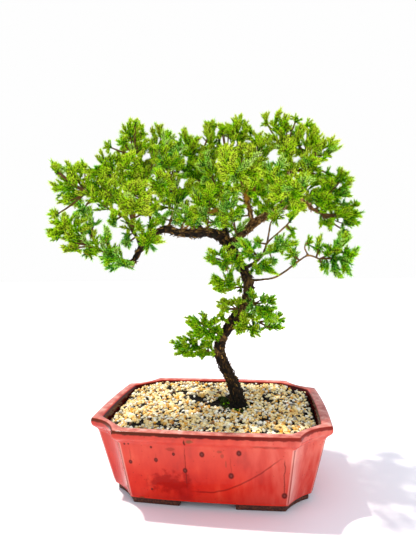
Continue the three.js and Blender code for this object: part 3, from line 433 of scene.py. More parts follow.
def red_glaze():
    """Red stoneware glaze, fired glossy. It gives the eye a clear red with soft clouds, runs and sharp
    highlights, milky towards its top, with a painted sheen towards its right, painted highlights by its
    upright corners and a painted dark reflection across its front, nearly black where it breaks over the
    lip's edge, and pink on the rim, where it lies thin and carries a painted reflection of the room."""
    material, tree, shader, node = new_material(
        "red stoneware glaze", Roughness=GLAZE_ROUGHNESS, IOR=1.5, Specular_IOR_Level=0.1,
    )
    place, x, y, z = millimetres(node)
    masks = node("SeparateColor", {0: node("Attribute", out="Color", attribute_name="finish")}).node.outputs
    inside, corner, bare = masks["Red"], masks["Green"], masks["Blue"]
    flat = node("CombineXYZ", {"X": x, "Z": z})
    front = node("MapRange", {0: y, 1: -58.5, 2: -56.0, 3: 1.0, 4: 0.0}, **SMOOTH)
    cloud = node("TexNoise", {"Vector": place, "Scale": 1 / CLOUD_SIZE, "Detail": 5})
    run_shape = (1 / RUN_WIDTH, 1 / RUN_WIDTH, 1 / RUN_LENGTH)
    run = node("VectorMath", {0: place, 1: run_shape}, operation="MULTIPLY")
    streak = node("TexNoise", {"Vector": run, "Scale": 1, "Detail": 3})
    blot = node("TexNoise", {"Vector": place, "Scale": 1 / BLOT_SIZE, "Detail": 4})
    both = node("Mix", {0: 0.4, 2: cloud, 3: streak})
    colour = node("ValToRGB", {0: both}, stops=[
        (0.32, "#a0100a"), (0.45, "#be1c0e"), (0.56, "#c92a17"), (0.7, "#d4452e"),
    ])

    # A milky film, thicker towards the top, and a painted sheen in streaks towards the right
    high = node("MapRange", {0: z, 1: 18.0, 2: 56.0, 3: 0.01, 4: 0.15}, **SMOOTH)
    right = node("MapRange", {0: x, 1: 20.0, 2: 88.0, 3: 0.0, 4: 0.24})
    sheen_streaks = node("MapRange", {0: streak, 1: 0.38, 2: 0.62, 3: 0.4, 4: 1.4})
    film = node("Math", {0: right, 1: sheen_streaks, 2: high}, operation="MULTIPLY_ADD")
    colour = node("Mix", {0: film, 6: colour, 7: rgb("#e89a88")}, **BLEND)

    # The upright corners: a painted highlight on each cut corner's panel and beside each corner, and the
    # glaze broken to brown along them
    painted_highlight = node("Attribute", out="Fac", attribute_name="painted_highlight")
    sheen_streaks = node("MapRange", {0: streak, 1: 0.35, 2: 0.65, 3: 0.5, 4: 0.9})
    painted_highlight = node("Math", {0: painted_highlight, 1: sheen_streaks}, operation="MULTIPLY")
    colour = node("Mix", {0: painted_highlight, 6: colour, 7: rgb("#eab4a6")}, **BLEND)
    # A painted highlight beside each upright corner
    beside = node("MapRange", {0: corner, 1: 0.02, 2: 0.4, 3: 0.0, 4: 0.4}, **SMOOTH)
    colour = node("Mix", {0: beside, 6: colour, 7: rgb("#f4c2b4")}, **BLEND)
    worn = node("MapRange", {0: corner, 1: 0.5, 2: 0.85, 3: 0.0, 4: 0.75}, **SMOOTH)
    colour = node("Mix", {0: worn, 6: colour, 7: rgb("#5e2214")}, **BLEND)

    # A painted reflection across the front: a dark line in an arc where the reflected floor turns from
    # light to shade, a painted deeper red below it, and a dark blob of painted reflection at its left end
    across = node("MapRange", {0: x, 1: 2.9, 2: 59.0})
    bent = node("Math", {0: across, 1: 1.6}, operation="POWER")
    arc = node("Math", {0: bent, 1: 33.0, 2: 15.5}, operation="MULTIPLY_ADD")
    ragged = node("Math", {0: streak, 1: -2.0, 2: z}, operation="MULTIPLY_ADD")
    above = node("Math", {0: ragged, 1: arc}, operation="SUBTRACT")
    reflected_shade_below = node("MapRange", {0: above, 1: -9.0, 2: 0.0, 3: 0.28, 4: 0.0}, **SMOOTH)
    colour = node("Mix", {0: reflected_shade_below, 6: colour, 7: rgb("#a8140a")}, **BLEND)
    reflection_line = node("Math", {0: above}, operation="ABSOLUTE")
    reflection_line = node("MapRange", {0: reflection_line, 1: 0.25, 2: 1.2, 3: 0.6, 4: 0.0}, **SMOOTH)
    started = node("MapRange", {0: x, 1: -14.0, 2: -4.0})
    going = node("MapRange", {0: x, 1: 52.0, 2: 62.0, 3: 1.0, 4: 0.0})
    for share in (started, going, front):
        reflection_line = node("Math", {0: reflection_line, 1: share}, operation="MULTIPLY")
    colour = node("Mix", {0: reflection_line, 6: colour, 7: rgb("#6b0d06")}, **BLEND)
    dark_reflection = from_oval(node, flat, DARK_REFLECTION_CENTRE, DARK_REFLECTION_HALF)
    dark_reflection = node("Math", {0: blot, 1: 3.0, 2: dark_reflection}, operation="MULTIPLY_ADD")
    dark_reflection = node("MapRange", {0: dark_reflection, 1: 2.0, 2: 2.75, 3: 0.8, 4: 0.0}, **SMOOTH)
    dark_reflection = node("Math", {0: dark_reflection, 1: front}, operation="MULTIPLY")
    colour = node("Mix", {0: dark_reflection, 6: colour, 7: rgb("#940a02")}, **BLEND)
    skirt = node("MapRange", {0: z, 1: 6.2, 2: 8.0, 3: 0.7, 4: 0.0}, **SMOOTH)
    colour = node("Mix", {0: skirt, 6: colour, 7: rgb("#d8240f")}, **BLEND)

    # The lip rolls under in a deeper red. Its outer edge is a dark band, olive brown on the left and
    # maroon to the right, and the flat of the rim is pink: thin glaze, with a painted reflection of the white
    # room
    rolled = node("ValToRGB", {0: node("MapRange", {0: z, 1: 56.0, 2: 64.0})}, stops=[
        (0.15, "#000000"), (0.25, "#6a6a6a"), (0.4, "#6a6a6a"), (0.7, "#000000"),
    ])
    colour = node("Mix", {0: rolled, 6: colour, 7: rgb("#b81a0e")}, **BLEND)
    shift = node("Math", {0: streak, 1: 30.0, 2: x}, operation="MULTIPLY_ADD")
    dark = node("ValToRGB", {0: node("MapRange", {0: shift, 1: -80.0, 2: 80.0})}, stops=[
        (0.0, "#54210f"), (0.25, "#42200e"), (0.45, "#3e1409"), (0.6, "#420804"), (0.8, "#560d07"),
        (1.0, "#74190f"),
    ])
    wavy = node("Math", {0: blot, 1: -3.0, 2: z}, operation="MULTIPLY_ADD")
    band = node("MapRange", {0: wavy, 1: 64.2, 2: 65.4, 3: 0.0, 4: 0.93}, **SMOOTH)
    crest = node("MapRange", {0: z, 1: 68.6, 2: 69.05}, **SMOOTH)
    band = node("Math", {0: band, 1: crest}, operation="SUBTRACT", use_clamp=True)
    band = node("Math", {0: band, 1: inside}, operation="SUBTRACT", use_clamp=True)
    colour = node("Mix", {0: band, 6: colour, 7: dark}, **BLEND)
    # The rim's flat: the pink of thin glaze and a painted reflection of the white room
    thin = node("ValToRGB", {0: streak}, stops=[(0.3, "#a94e43"), (0.5, "#c47669"), (0.7, "#daa093")])
    crest = node("Math", {0: crest, 1: 0.92}, operation="MULTIPLY")
    colour = node("Mix", {0: crest, 6: colour, 7: thin}, **BLEND)
    within = node("MapRange", {0: z, 1: 67.6, 2: 68.6, 3: 1.0, 4: 0.0}, **SMOOTH)
    within = node("Math", {0: within, 1: inside}, operation="MULTIPLY")
    colour = node("Mix", {0: within, 6: colour, 7: rgb("#480b06")}, **BLEND)

    # Drips: each a dark bead with a paler heart, under a thin wandering thread
    wander = node("Math", {0: blot, 1: 3.0, 2: -1.5}, operation="MULTIPLY_ADD")
    wander = node("Math", {0: wander, 1: x}, operation="ADD")
    beads, hearts = 0.0, 0.0
    for drip_x, drip_z, radius, top, strength in DRIPS:
        away = from_oval(node, flat, (drip_x, drip_z), BEAD_SHAPE)
        bead = node("MapRange", {0: away, 1: 0.7 * radius, 2: 1.3 * radius, 3: 0.85, 4: 0.0}, **SMOOTH)
        heart = node("MapRange", {0: away, 1: 0.1 * radius, 2: 0.6 * radius, 3: 0.4, 4: 0.0}, **SMOOTH)
        beside = node("Math", {0: wander, 1: drip_x}, operation="SUBTRACT")
        beside = node("Math", {0: beside}, operation="ABSOLUTE")
        thread = node("MapRange", {0: beside, 1: 0.1, 2: 0.8, 3: strength, 4: 0.0}, **SMOOTH)
        below = node("MapRange", {0: z, 1: top - 5, 2: top, 3: 1.0, 4: 0.0}, **SMOOTH)
        over = node("MapRange", {0: z, 1: drip_z, 2: drip_z + 1}, **SMOOTH)
        for share in (below, over):
            thread = node("Math", {0: thread, 1: share}, operation="MULTIPLY")
        bead = node("Math", {0: bead, 1: thread}, operation="MAXIMUM")
        beads = node("Math", {0: beads, 1: bead}, operation="MAXIMUM")
        hearts = node("Math", {0: hearts, 1: heart}, operation="MAXIMUM")
    for share, code in ((beads, "#360b08"), (hearts, "#8a4a44")):
        share = node("Math", {0: share, 1: front}, operation="MULTIPLY")
        colour = node("Mix", {0: share, 6: colour, 7: rgb(code)}, **BLEND)

    # A brown chip under the rim with a hairline below it, brown smears, and painted shade under the lip on
    # the right
    for centre, half, code, strength in MARKS:
        mark = from_oval(node, flat, centre, half)
        mark = node("Math", {0: blot, 1: 1.6, 2: mark}, operation="MULTIPLY_ADD")
        mark = node("MapRange", {0: mark, 1: 1.3, 2: 1.9, 3: strength, 4: 0.0}, **SMOOTH)
        mark = node("Math", {0: mark, 1: front}, operation="MULTIPLY")
        colour = node("Mix", {0: mark, 6: colour, 7: rgb(code)}, **BLEND)

    # Iron specks, and bare clay on the underside and inside
    specks = node("TexVoronoi", {"Vector": place, "Scale": 1 / SPECK_PITCH})
    specks = node("MapRange", {0: specks, 1: 0.05, 2: 0.12, 3: 0.5, 4: 0.0}, **SMOOTH)
    colour = node("Mix", {0: specks, 6: colour, 7: rgb("#3a120a")}, **BLEND)
    grain = node("TexNoise", {"Vector": place, "Scale": 1 / 1.4, "Detail": 5})
    clay = node("Mix", {0: grain, 6: rgb("#3a2116"), 7: rgb("#7a5138")}, **BLEND)
    colour = node("Mix", {0: bare, 6: colour, 7: clay}, **BLEND)
    tree.links.new(colour, shader.inputs["Base Color"])
    rough = node("MapRange", {0: bare, 3: GLAZE_ROUGHNESS, 4: 0.85})
    tree.links.new(rough, shader.inputs["Roughness"])
    ripple = node("TexNoise", {"Vector": place, "Scale": 1 / 4, "Detail": 2})
    ripple = node("Bump", {"Height": ripple, "Strength": 0.12, "Distance": 0.5 * MM})
    tree.links.new(ripple, shader.inputs["Normal"])
    return material


def fired_clay():
    """Bare stoneware clay, fired brown. It gives the eye a dry, dark and gritty foot under the glaze."""
    material, tree, shader, node = new_material("bare stoneware clay", Roughness=0.85)
    place, *_ = millimetres(node)
    grain = node("TexNoise", {"Vector": place, "Scale": 1 / 1.4, "Detail": 6})
    colour = node("ValToRGB", {0: grain}, stops=[(0.3, "#250d06"), (0.5, "#451c0f"), (0.7, "#6e3a22")])
    tree.links.new(colour, shader.inputs["Base Color"])
    relief = node("Bump", {"Height": grain, "Strength": 1.0, "Distance": 0.5 * MM})
    tree.links.new(relief, shader.inputs["Normal"])
    return material


def juniper_bark():
    """Weathered juniper bark, dry and matt, peeling in plates. It gives the eye near black cracks,
    dark brown plates of their own tones with a painted golden highlight towards their lifted ends, a paler
    right limb, and smooth tan young twigs."""
    material, tree, shader, node = new_material(
        "flaking juniper bark", Roughness=0.9, Specular_IOR_Level=0.25,
    )
    place, x, _, z = millimetres(node)
    masks = node("Attribute", out="Color", attribute_name="bark")
    masks = node("SeparateColor", {0: masks}).node.outputs
    crack, plate_tone_and_highlight, thin = masks["Red"], masks["Green"], masks["Blue"]
    # Each plate's own tone, lighter towards its lifted end as a painted highlight
    old = node("ValToRGB", {0: plate_tone_and_highlight}, stops=[
        (0.15, "#0e0905"), (0.4, "#22170b"), (0.6, "#3d2a12"), (0.8, "#6f4f22"), (1.0, "#b08742"),
    ])
    young = node("ValToRGB", {0: plate_tone_and_highlight}, stops=[
        (0.15, "#38230f"), (0.4, "#765127"), (0.6, "#a67a40"), (0.8, "#cda666"), (1.0, "#ead2a2"),
    ])
    right = node("MapRange", {0: x, 1: 20.0, 2: 36.0}, **SMOOTH)
    high = node("MapRange", {0: z, 1: 212.0, 2: 226.0}, **SMOOTH)
    outer = node("Math", {0: right, 1: high}, operation="MULTIPLY")
    colour = node("Mix", {0: outer, 6: old, 7: young}, **BLEND)
    grain = node("TexNoise", {"Vector": place, "Scale": 1 / 1.1, "Detail": 6})
    twig = node("ValToRGB", {0: grain}, stops=[(0.3, "#6c4824"), (0.5, "#a87e40"), (0.7, "#d6b474")])
    colour = node("Mix", {0: thin, 6: colour, 7: twig}, **BLEND)
    dirt = node("MapRange", {0: grain, 1: 0.4, 2: 0.66, 3: 0.0, 4: 0.6}, **SMOOTH)
    colour = node("Mix", {0: dirt, 6: colour, 7: rgb("#150e07")}, **BLEND)
    dark = node("Math", {0: crack, 1: 0.9}, operation="MULTIPLY")
    colour = node("Mix", {0: dark, 6: colour, 7: rgb("#080503")}, **BLEND)
    # The bark is darker towards the trunk's foot, up to 90 mm
    damp = node("MapRange", {0: z, 1: 64.0, 2: 90.0, 3: 0.85, 4: 0.0}, **SMOOTH)
    colour = node("Mix", {0: damp, 6: colour, 7: rgb("#080803")}, **BLEND)
    sawn = node("VectorMath", {0: place, 1: SAWN_END}, out="Value", operation="DISTANCE")
    sawn = node("MapRange", {0: sawn, 1: 2.6, 2: 4.2, 3: 0.8, 4: 0.0}, **SMOOTH)
    colour = node("Mix", {0: sawn, 6: colour, 7: rgb("#b79a68")}, **BLEND)
    tree.links.new(colour, shader.inputs["Base Color"])
    fibre = node("TexNoise", {"Vector": place, "Scale": 1 / 0.6, "Detail": 4})
    relief = node("Bump", {"Height": fibre, "Strength": 0.6, "Distance": 0.5 * MM})
    tree.links.new(relief, shader.inputs["Normal"])
    return material


def juniper_needles():
    """Waxy living needles, lime when new and dark green when old, brown when dead. They give the eye
    tips lightened by a painted highlight over bases darkened by painted shade. The map's second part
    runs from bark and dead needles to lime, and its first part along the needle, once for plain green
    and once for needles with a blue bloom."""
    material, tree, shader, node = new_material("juniper needles", Roughness=0.6, Specular_IOR_Level=0.07)
    parts = node("SeparateXYZ", {0: node("UVMap", uv_map=MAP)}).node.outputs
    u, v = parts["X"], parts["Y"]
    old = [(0.0, "#2c1d0f"), (0.08, "#6b4f2c"), (0.11, "#8a5620"), (0.22, "#b08a2c")]
    green = node("ValToRGB", {0: v}, stops=[
        *old, (0.27, "#143404"), (0.38, "#3c9404"), (0.5, "#82e204"), (0.64, "#b2f806"), (0.82, "#d6ff1e"),
        (1.0, "#f0ff50"),
    ])
    blue = node("ValToRGB", {0: v}, stops=[
        *old, (0.27, "#123a10"), (0.38, "#369628"), (0.5, "#70dc3c"), (0.64, "#96ee38"), (0.82, "#c2fa54"),
        (1.0, "#e2ff86"),
    ])
    is_blue = node("Math", {0: u, 1: 0.5}, operation="GREATER_THAN")
    along = node("Math", {0: u, 1: 2.0}, operation="MULTIPLY")
    along = node("Math", {0: along}, operation="FRACT")
    colour = node("Mix", {0: is_blue, 6: green, 7: blue}, **BLEND)
    bloom = node("ValToRGB", {0: along}, stops=[(0.4, "#000000"), (0.6, "#707070"), (0.82, "#000000")])
    bloom = node("Math", {0: bloom, 1: is_blue}, operation="MULTIPLY")
    colour = node("Mix", {0: bloom, 6: colour, 7: rgb("#d6ebcc")}, **BLEND)
    # A painted highlight: lighter towards each living needle's tip
    tip = node("MapRange", {0: along, 1: 0.5, 2: 0.95, 3: 0.0, 4: 0.3}, **SMOOTH)
    living = node("MapRange", {0: v, 1: 0.3, 2: 0.5})
    tip = node("Math", {0: tip, 1: living}, operation="MULTIPLY")
    colour = node("Mix", {0: tip, 6: colour, 7: rgb("#e0f83c")}, **BLEND)
    # Painted shade: darker towards each needle's foot and over the shoot's body
    base = node("MapRange", {0: along, 1: 0.1, 2: 0.4, 3: 0.92, 4: 0.0}, **SMOOTH)
    living = node("MapRange", {0: v, 1: 0.22, 2: 0.27}, **SMOOTH)
    base = node("Math", {0: base, 1: living}, operation="MULTIPLY")
    colour = node("Mix", {0: base, 6: colour, 7: rgb("#0f2204")}, **BLEND)
    tree.links.new(colour, shader.inputs["Base Color"])
    return material


def river_gravel():
    """Washed gravel of mixed stone. It gives the eye cream, sand, ochre, white and grey stones, each
    darker below with dust and painted shade. The map's first part picks a pebble's stone and its second
    part rises to its top."""
    material, tree, shader, node = new_material(
        "washed river gravel", Roughness=0.75, Specular_IOR_Level=0.35,
    )
    parts = node("SeparateXYZ", {0: node("UVMap", uv_map=MAP)}).node.outputs
    stone = node("ValToRGB", {0: parts["X"]}, stops=[
        (0.0, "#f8e0a2"), (0.2, "#efcb80"), (0.36, "#fceebe"), (0.48, "#e2ae54"), (0.55, "#eda830"),
        (0.58, "#c8863a"), (0.61, "#fffbe8"), (0.74, "#e6dcbc"), (0.83, "#a8a294"), (0.88, "#84603c"),
        (0.92, "#26221e"),
    ])
    stone.node.color_ramp.interpolation = "CONSTANT"
    # Darker low on each pebble: dust, and painted shade
    shade = node("MapRange", {0: parts["Y"], 1: 0.0, 2: 0.62, 3: 0.72, 4: 0.0}, **SMOOTH)
    colour = node("Mix", {0: shade, 6: stone, 7: rgb("#4a3820")}, **BLEND)
    tree.links.new(colour, shader.inputs["Base Color"])
    return material


def potting_soil():
    """Damp compost. It gives the eye near black crumbs, partly the soil's own colour and partly painted shade
    for the gaps between the pebbles, with a few lighter ones.
    """
    material, tree, shader, node = new_material("damp potting soil", Roughness=0.95, Specular_IOR_Level=0.2)
    place, *_ = millimetres(node)
    crumbs = node("TexNoise", {"Vector": place, "Scale": 1 / 1.25, "Detail": 6})
    # Near black: the soil's own dark and painted shade for the gaps between the pebbles
    colour = node("ValToRGB", {0: crumbs}, stops=[(0.42, "#070503"), (0.62, "#1a130b"), (0.76, "#403020")])
    tree.links.new(colour, shader.inputs["Base Color"])
    relief = node("Bump", {"Height": crumbs, "Strength": 1.0, "Distance": 1.2 * MM})
    tree.links.new(relief, shader.inputs["Normal"])
    return material


def cushion_moss():
    """Cushion moss. It gives the eye a soft dark green that is brighter at its tips."""
    material, tree, shader, node = new_material("cushion moss", Roughness=0.95, Specular_IOR_Level=0.1)
    place, *_ = millimetres(node)
    tips = node("TexNoise", {"Vector": place, "Scale": 1 / 0.8, "Detail": 5})
    colour = node("ValToRGB", {0: tips}, stops=[(0.35, "#0c1206"), (0.55, "#26340f"), (0.7, "#5a7020")])
    tree.links.new(colour, shader.inputs["Base Color"])
    relief = node("Bump", {"Height": tips, "Strength": 1.0, "Distance": 1.0 * MM})
    tree.links.new(relief, shader.inputs["Normal"])
    return material


def green_polythene():
    """Moulded polythene mesh. It gives the eye a dull dark green with a film of dust."""
    material, tree, shader, node = new_material("moulded polythene mesh", Roughness=0.5)
    place, *_ = millimetres(node)
    dust = node("TexNoise", {"Vector": place, "Scale": 1 / 2, "Detail": 3})
    colour = node("Mix", {0: dust, 6: rgb("#1c3324"), 7: rgb("#3a4f3c")}, **BLEND)
    tree.links.new(colour, shader.inputs["Base Color"])
    return material


# Modelling helpers


def select_only(*chosen):
    """Selects the objects, and makes the first one active."""
    bpy.ops.object.select_all(action="DESELECT")
    for obj in chosen:
        obj.select_set(True)
    bpy.context.view_layer.objects.active = chosen[0]


def new_form(operator, **settings):
    """A new object from one of Blender's basic forms."""
    bpy.ops.object.select_all(action="DESELECT")
    operator(**settings)
    return bpy.context.object


def apply_modifier(obj, kind, **settings):
    """Adds a modifier with its settings and applies it."""
    modifier = obj.modifiers.new(kind.title(), kind)
    for key, value in settings.items():
        setattr(modifier, key, value)
    select_only(obj)
    bpy.ops.object.modifier_apply(modifier=modifier.name)


def joined(name, objects):
    """The objects as one, under a name."""
    select_only(*objects)
    if len(objects) > 1:
        bpy.ops.object.join()
    whole = bpy.context.view_layer.objects.active
    whole.name = name
    whole.data.name = name
    return whole


def finish_piece(obj, material, slot, *nodes):
    """The piece gets its material, rides with the object and stands for its CAD nodes."""
    obj.data.materials.clear()
    obj.data.materials.append(material)
    obj.data.polygons.foreach_set("material_index", [0] * len(obj.data.polygons))
    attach(obj, "root")
    if nodes:
        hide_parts(*nodes)


def placed(source, matrix):
    """A copy of the source, with a mesh of its own at the place."""
    copy = bpy.data.objects.new(source.name, source.data.copy())
    copy.data.transform(matrix)
    bpy.context.scene.collection.objects.link(copy)
    return copy


def standing(way):
    """The turn that sets +Z along a way."""
    return way.to_track_quat("Z", "Y").to_matrix().to_4x4()


def vertex_array(mesh):
    """The places of the mesh's points."""
    places = np.empty(3 * len(mesh.vertices), np.float32)
    mesh.vertices.foreach_get("co", places)
    return places.reshape(-1, 3)


def normal_array(mesh):
    """The normals at the mesh's points."""
    normals = np.empty(3 * len(mesh.vertices), np.float32)
    mesh.vertex_normals.foreach_get("vector", normals)
    return normals.reshape(-1, 3)


def move_points(mesh, places):
    """Gives the mesh's points new places."""
    mesh.vertices.foreach_set("co", places.astype(np.float32).ravel())
    mesh.update()


def paint(mesh, name, colours):
    """Keeps a colour at each of the mesh's points, under a name."""
    layer = mesh.color_attributes.new(name, "FLOAT_COLOR", "POINT")
    layer.data.foreach_set("color", np.asarray(colours, np.float32).ravel())


def map_layer(mesh):
    """The mesh's map, made where there is none."""
    return mesh.uv_layers.get(MAP) or mesh.uv_layers.new(name=MAP)


def map_array(mesh):
    """The places of the mesh's corners in its map."""
    layer = map_layer(mesh)
    values = np.empty(2 * len(layer.data), np.float32)
    layer.data.foreach_get("uv", values)
    return values.reshape(-1, 2)


def set_map(mesh, values):
    """Gives the mesh's corners new places in its map."""
    map_layer(mesh).data.foreach_set("uv", np.asarray(values, np.float32).ravel())


def tubes(name, paths, resolution):
    """Round tubes along paths of points and radii, closed at their ends."""
    curve = bpy.data.curves.new(name, "CURVE")
    curve.dimensions = "3D"
    curve.bevel_depth = MM
    curve.bevel_resolution = resolution
    curve.use_fill_caps = True
    for points, radii in paths:
        spline = curve.splines.new("POLY")
        spline.points.add(len(points) - 1)
        for point, place, radius in zip(spline.points, points, radii):
            point.co = (*(Vector(place) * MM), 1)
            point.radius = radius
    obj = bpy.data.objects.new(name, curve)
    bpy.context.scene.collection.objects.link(obj)
    select_only(obj)
    bpy.ops.object.convert(target="MESH")
    return bpy.context.view_layer.objects.active


def smooth_path(stations):
    """Points and radii on a smooth curve through the stations."""
    rows = [np.array(station, float) for station in stations]
    rows = [2 * rows[0] - rows[1], *rows, 2 * rows[-1] - rows[-2]]
    path = []
    for before, start, end, after in zip(rows, rows[1:], rows[2:], rows[3:]):
        count = max(1, round(float(np.linalg.norm((end - start)[:3])) / PATH_STEP))
        for t in np.arange(count) / count:
            path.append(0.5 * (2 * start + (end - before) * t
                               + (2 * before - 5 * start + 4 * end - after) * t ** 2
                               + (3 * start - before - 3 * end + after) * t ** 3))
    path.append(rows[-2])
    path = np.array(path)
    return path[:, :3], path[:, 3] / 2


LIMB_PATHS = {name: smooth_path(stations) for name, stations in LIMBS.items()}


# The pot


def drawn_in(half, cut, inset):
    """Half sizes and corner cuts of an outline that lies inside another one."""
    return [size - inset for size in half], [size - CUT_PER_INSET * inset for size in cut]


def wall_at(z):
    """Half sizes, corner cuts and cove of the wall's outside at a height."""
    head_half, head_cut = drawn_in(RIM_HALF, RIM_CUT, LIP_OVERHANG)
    share = min(max((z - FEET_HEIGHT) / (WALL_TOP - FEET_HEIGHT), 0), 1)
    half = [low + (high - low) * share for low, high in zip(FOOT_HALF, head_half)]
    cut = [low + (high - low) * share for low, high in zip(FOOT_CUT, head_cut)]
    return half, cut, COVE_AT_FOOT + (COVE_AT_RIM - COVE_AT_FOOT) * share


def outline(half, cut, cove, steps=7):
    """Corners of the oblong outline: bowed sides, and cut corners hollowed by a shallow arc."""
    (a, b), (cut_x, cut_y) = half, cut
    sides = [
        ((a, -b + cut_y), (a, b - cut_y)), ((a - cut_x, b), (-a + cut_x, b)),
        ((-a, b - cut_y), (-a, -b + cut_y)), ((-a + cut_x, -b), (a - cut_x, -b)),
    ]
    shares = [0, 0.03] + [i / steps for i in range(1, steps)] + [0.97]
    points = []
    for side, (start, end) in enumerate(sides):
        start, end = Vector(start), Vector(end)
        bow = Vector([math.copysign(1, place) if abs(place) > 1e-6 else 0 for place in (start + end) / 2])
        following = Vector(sides[(side + 1) % 4][0])
        across = end + following
        inward = Vector((-math.copysign(cut_y, across.x), -math.copysign(cut_x, across.y))).normalized()
        for t in shares:
            points.append(start.lerp(end, t) + bow * SIDE_BOW * 4 * t * (1 - t))
        for t in shares:
            points.append(end.lerp(following, t) + inward * cove * 4 * t * (1 - t))
    return points


def nearest_in(ring, place):
    """Which corner of the ring is the nearest to a place."""
    return min(range(len(ring)), key=lambda i: (ring[i] - place).length_squared)


def shell(name, rings):
    """A closed shell: a filled outline, extruded from ring to ring."""
    obj = new_form(bpy.ops.mesh.primitive_circle_add, vertices=len(rings[0]), radius=1, fill_type="NGON")
    obj.name = name
    bpy.ops.object.mode_set(mode="EDIT")
    for level, ring in enumerate(rings):
        if level:
            bpy.ops.mesh.extrude_region_move()
        mesh = bmesh.from_edit_mesh(obj.data)
        cap = next(face for face in mesh.faces if face.select)
        if level == 0:
            order = {vert.index: i for i, vert in enumerate(cap.verts)}
        else:
            order = {vert.index: nearest_in(rings[level - 1], vert.co / MM) for vert in cap.verts}
        for vert in cap.verts:
            vert.co = ring[order[vert.index]] * MM
        bmesh.update_edit_mesh(obj.data)
    bpy.ops.mesh.select_all(action="SELECT")
    bpy.ops.mesh.normals_make_consistent(inside=False)
    bpy.ops.object.mode_set(mode="OBJECT")
    return obj


def ring_at(z, half, cut, cove):
    """The corners of the outline at a height."""
    return [Vector((*point, z)) for point in outline(half, cut, cove)]


def block(*size):
    """A block of a size, at the middle of the pot's underside."""
    obj = new_form(bpy.ops.mesh.primitive_cube_add, size=1)
    bpy.ops.transform.resize(value=Vector(size) * MM)
    bpy.ops.object.transform_apply(scale=True)
    return obj


def cut_out(obj, other):
    """Takes another object's form out of the object."""
    apply_modifier(obj, "BOOLEAN", object=other, operation="DIFFERENCE", solver="EXACT")
    bpy.data.objects.remove(other)


def pot():
    """The fired pot: tapering wall, rolled lip, cut and hollowed corners, and drain holes."""
    rings = []
    for z, inset in FOOT_RINGS:
        half, cut = drawn_in(FOOT_HALF, FOOT_CUT, inset)
        rings.append(ring_at(z, half, cut, COVE_AT_FOOT))
    for z in WALL_RINGS:
        rings.append(ring_at(z, *wall_at(z)))
    for z, inset in LIP_RINGS:
        half, cut = drawn_in(RIM_HALF, RIM_CUT, inset)
        cove = COVE_AT_RIM if inset < 3 else max(0, COVE_AT_RIM * (8 - inset) / 5)
        rings.append(ring_at(z, half, cut, cove))
    for z, inset in INNER_RINGS:
        half, cut, _ = wall_at(z)
        rings.append(ring_at(z, [size - inset for size in half], cut, 0))
    body = shell("pot_body", rings)
    apply_modifier(body, "SUBSURF", levels=1, render_levels=1)

    for side in (-1, 1):
        drill = new_form(
            bpy.ops.mesh.primitive_cylinder_add, vertices=32, radius=DRAIN_DIAMETER / 2 * MM, depth=40 * MM,
            location=(side * DRAIN_PLACE * MM, 0, 0),
        )
        cut_out(body, drill)
    paint_pot(body.data)
    select_only(body)
    bpy.ops.object.shade_smooth_by_angle(angle=SMOOTH_ANGLE)
    return body


def feet():
    """The bare foot ring under the pot, cut by arches into four feet."""
    top = FEET_HEIGHT + 0.3
    outer = drawn_in(FOOT_HALF, FOOT_CUT, FOOT_INSET)
    inner = drawn_in(FOOT_HALF, FOOT_CUT, FOOT_INSET + FOOT_BREADTH)
    obj = shell("feet", [ring_at(z, *outer, COVE_AT_FOOT) for z in (0, top)])
    cut_out(obj, shell("foot_hollow", [ring_at(z, *inner, COVE_AT_FOOT) for z in (-1, top + 1)]))
    cut_out(obj, block(FRONT_ARCH, 3 * RIM_HALF[1], 3 * top))
    cut_out(obj, block(3 * RIM_HALF[0], SIDE_ARCH, 3 * top))
    apply_modifier(
        obj, "BEVEL", width=0.5 * MM, segments=2, limit_method="ANGLE", angle_limit=math.radians(40),
    )
    select_only(obj)
    bpy.ops.object.shade_smooth_by_angle(angle=SMOOTH_ANGLE)
    return obj


def paint_pot(mesh):
    """The finish of each point: red inside the wall, green along its upright corners, and blue on
    bare clay. Another mask marks where a painted highlight lies on each cut corner's panel."""
    places = vertex_array(mesh) / MM
    normals = normal_array(mesh)
    inward = (normals[:, :2] * places[:, :2]).sum(1) < -1
    z = places[:, 2]
    colours = np.zeros((len(places), 4), np.float32)
    painted_highlight = np.zeros(len(places), np.float32)
    colours[:, 0] = inward & (z > FLOOR_TOP - 0.5)
    for i, place in enumerate(places):
        if not inward[i] and FEET_HEIGHT + 0.5 < place[2] < WALL_TOP:
            half, cut, _ = wall_at(place[2])
            long_side = math.hypot(abs(place[0]) - half[0] + cut[0], abs(place[1]) - half[1])
            short_side = math.hypot(abs(place[0]) - half[0], abs(place[1]) - half[1] + cut[1])
            colours[i, 1] = math.exp(-(min(long_side, short_side) / CORNER_WEAR_AND_HIGHLIGHT) ** 2)
            if abs(place[0]) > half[0] - cut[0] + 0.3 and abs(place[1]) > half[1] - cut[1]:
                # A painted highlight on the cut corner's panel
                painted_highlight[i] = math.exp(-(long_side / PAINTED_HIGHLIGHT_WIDTH) ** 2)
    under = (z < FEET_HEIGHT + 0.25) | ((z < FLOOR_TOP) & (normals[:, 2] < -0.5) & (z < 6))
    colours[:, 2] = under | (inward & (z < SOIL_TOP))
    colours[:, 3] = 1
    paint(mesh, "finish", colours)
    mesh.attributes.new("painted_highlight", "FLOAT", "POINT").data.foreach_set("value", painted_highlight)


# The wood


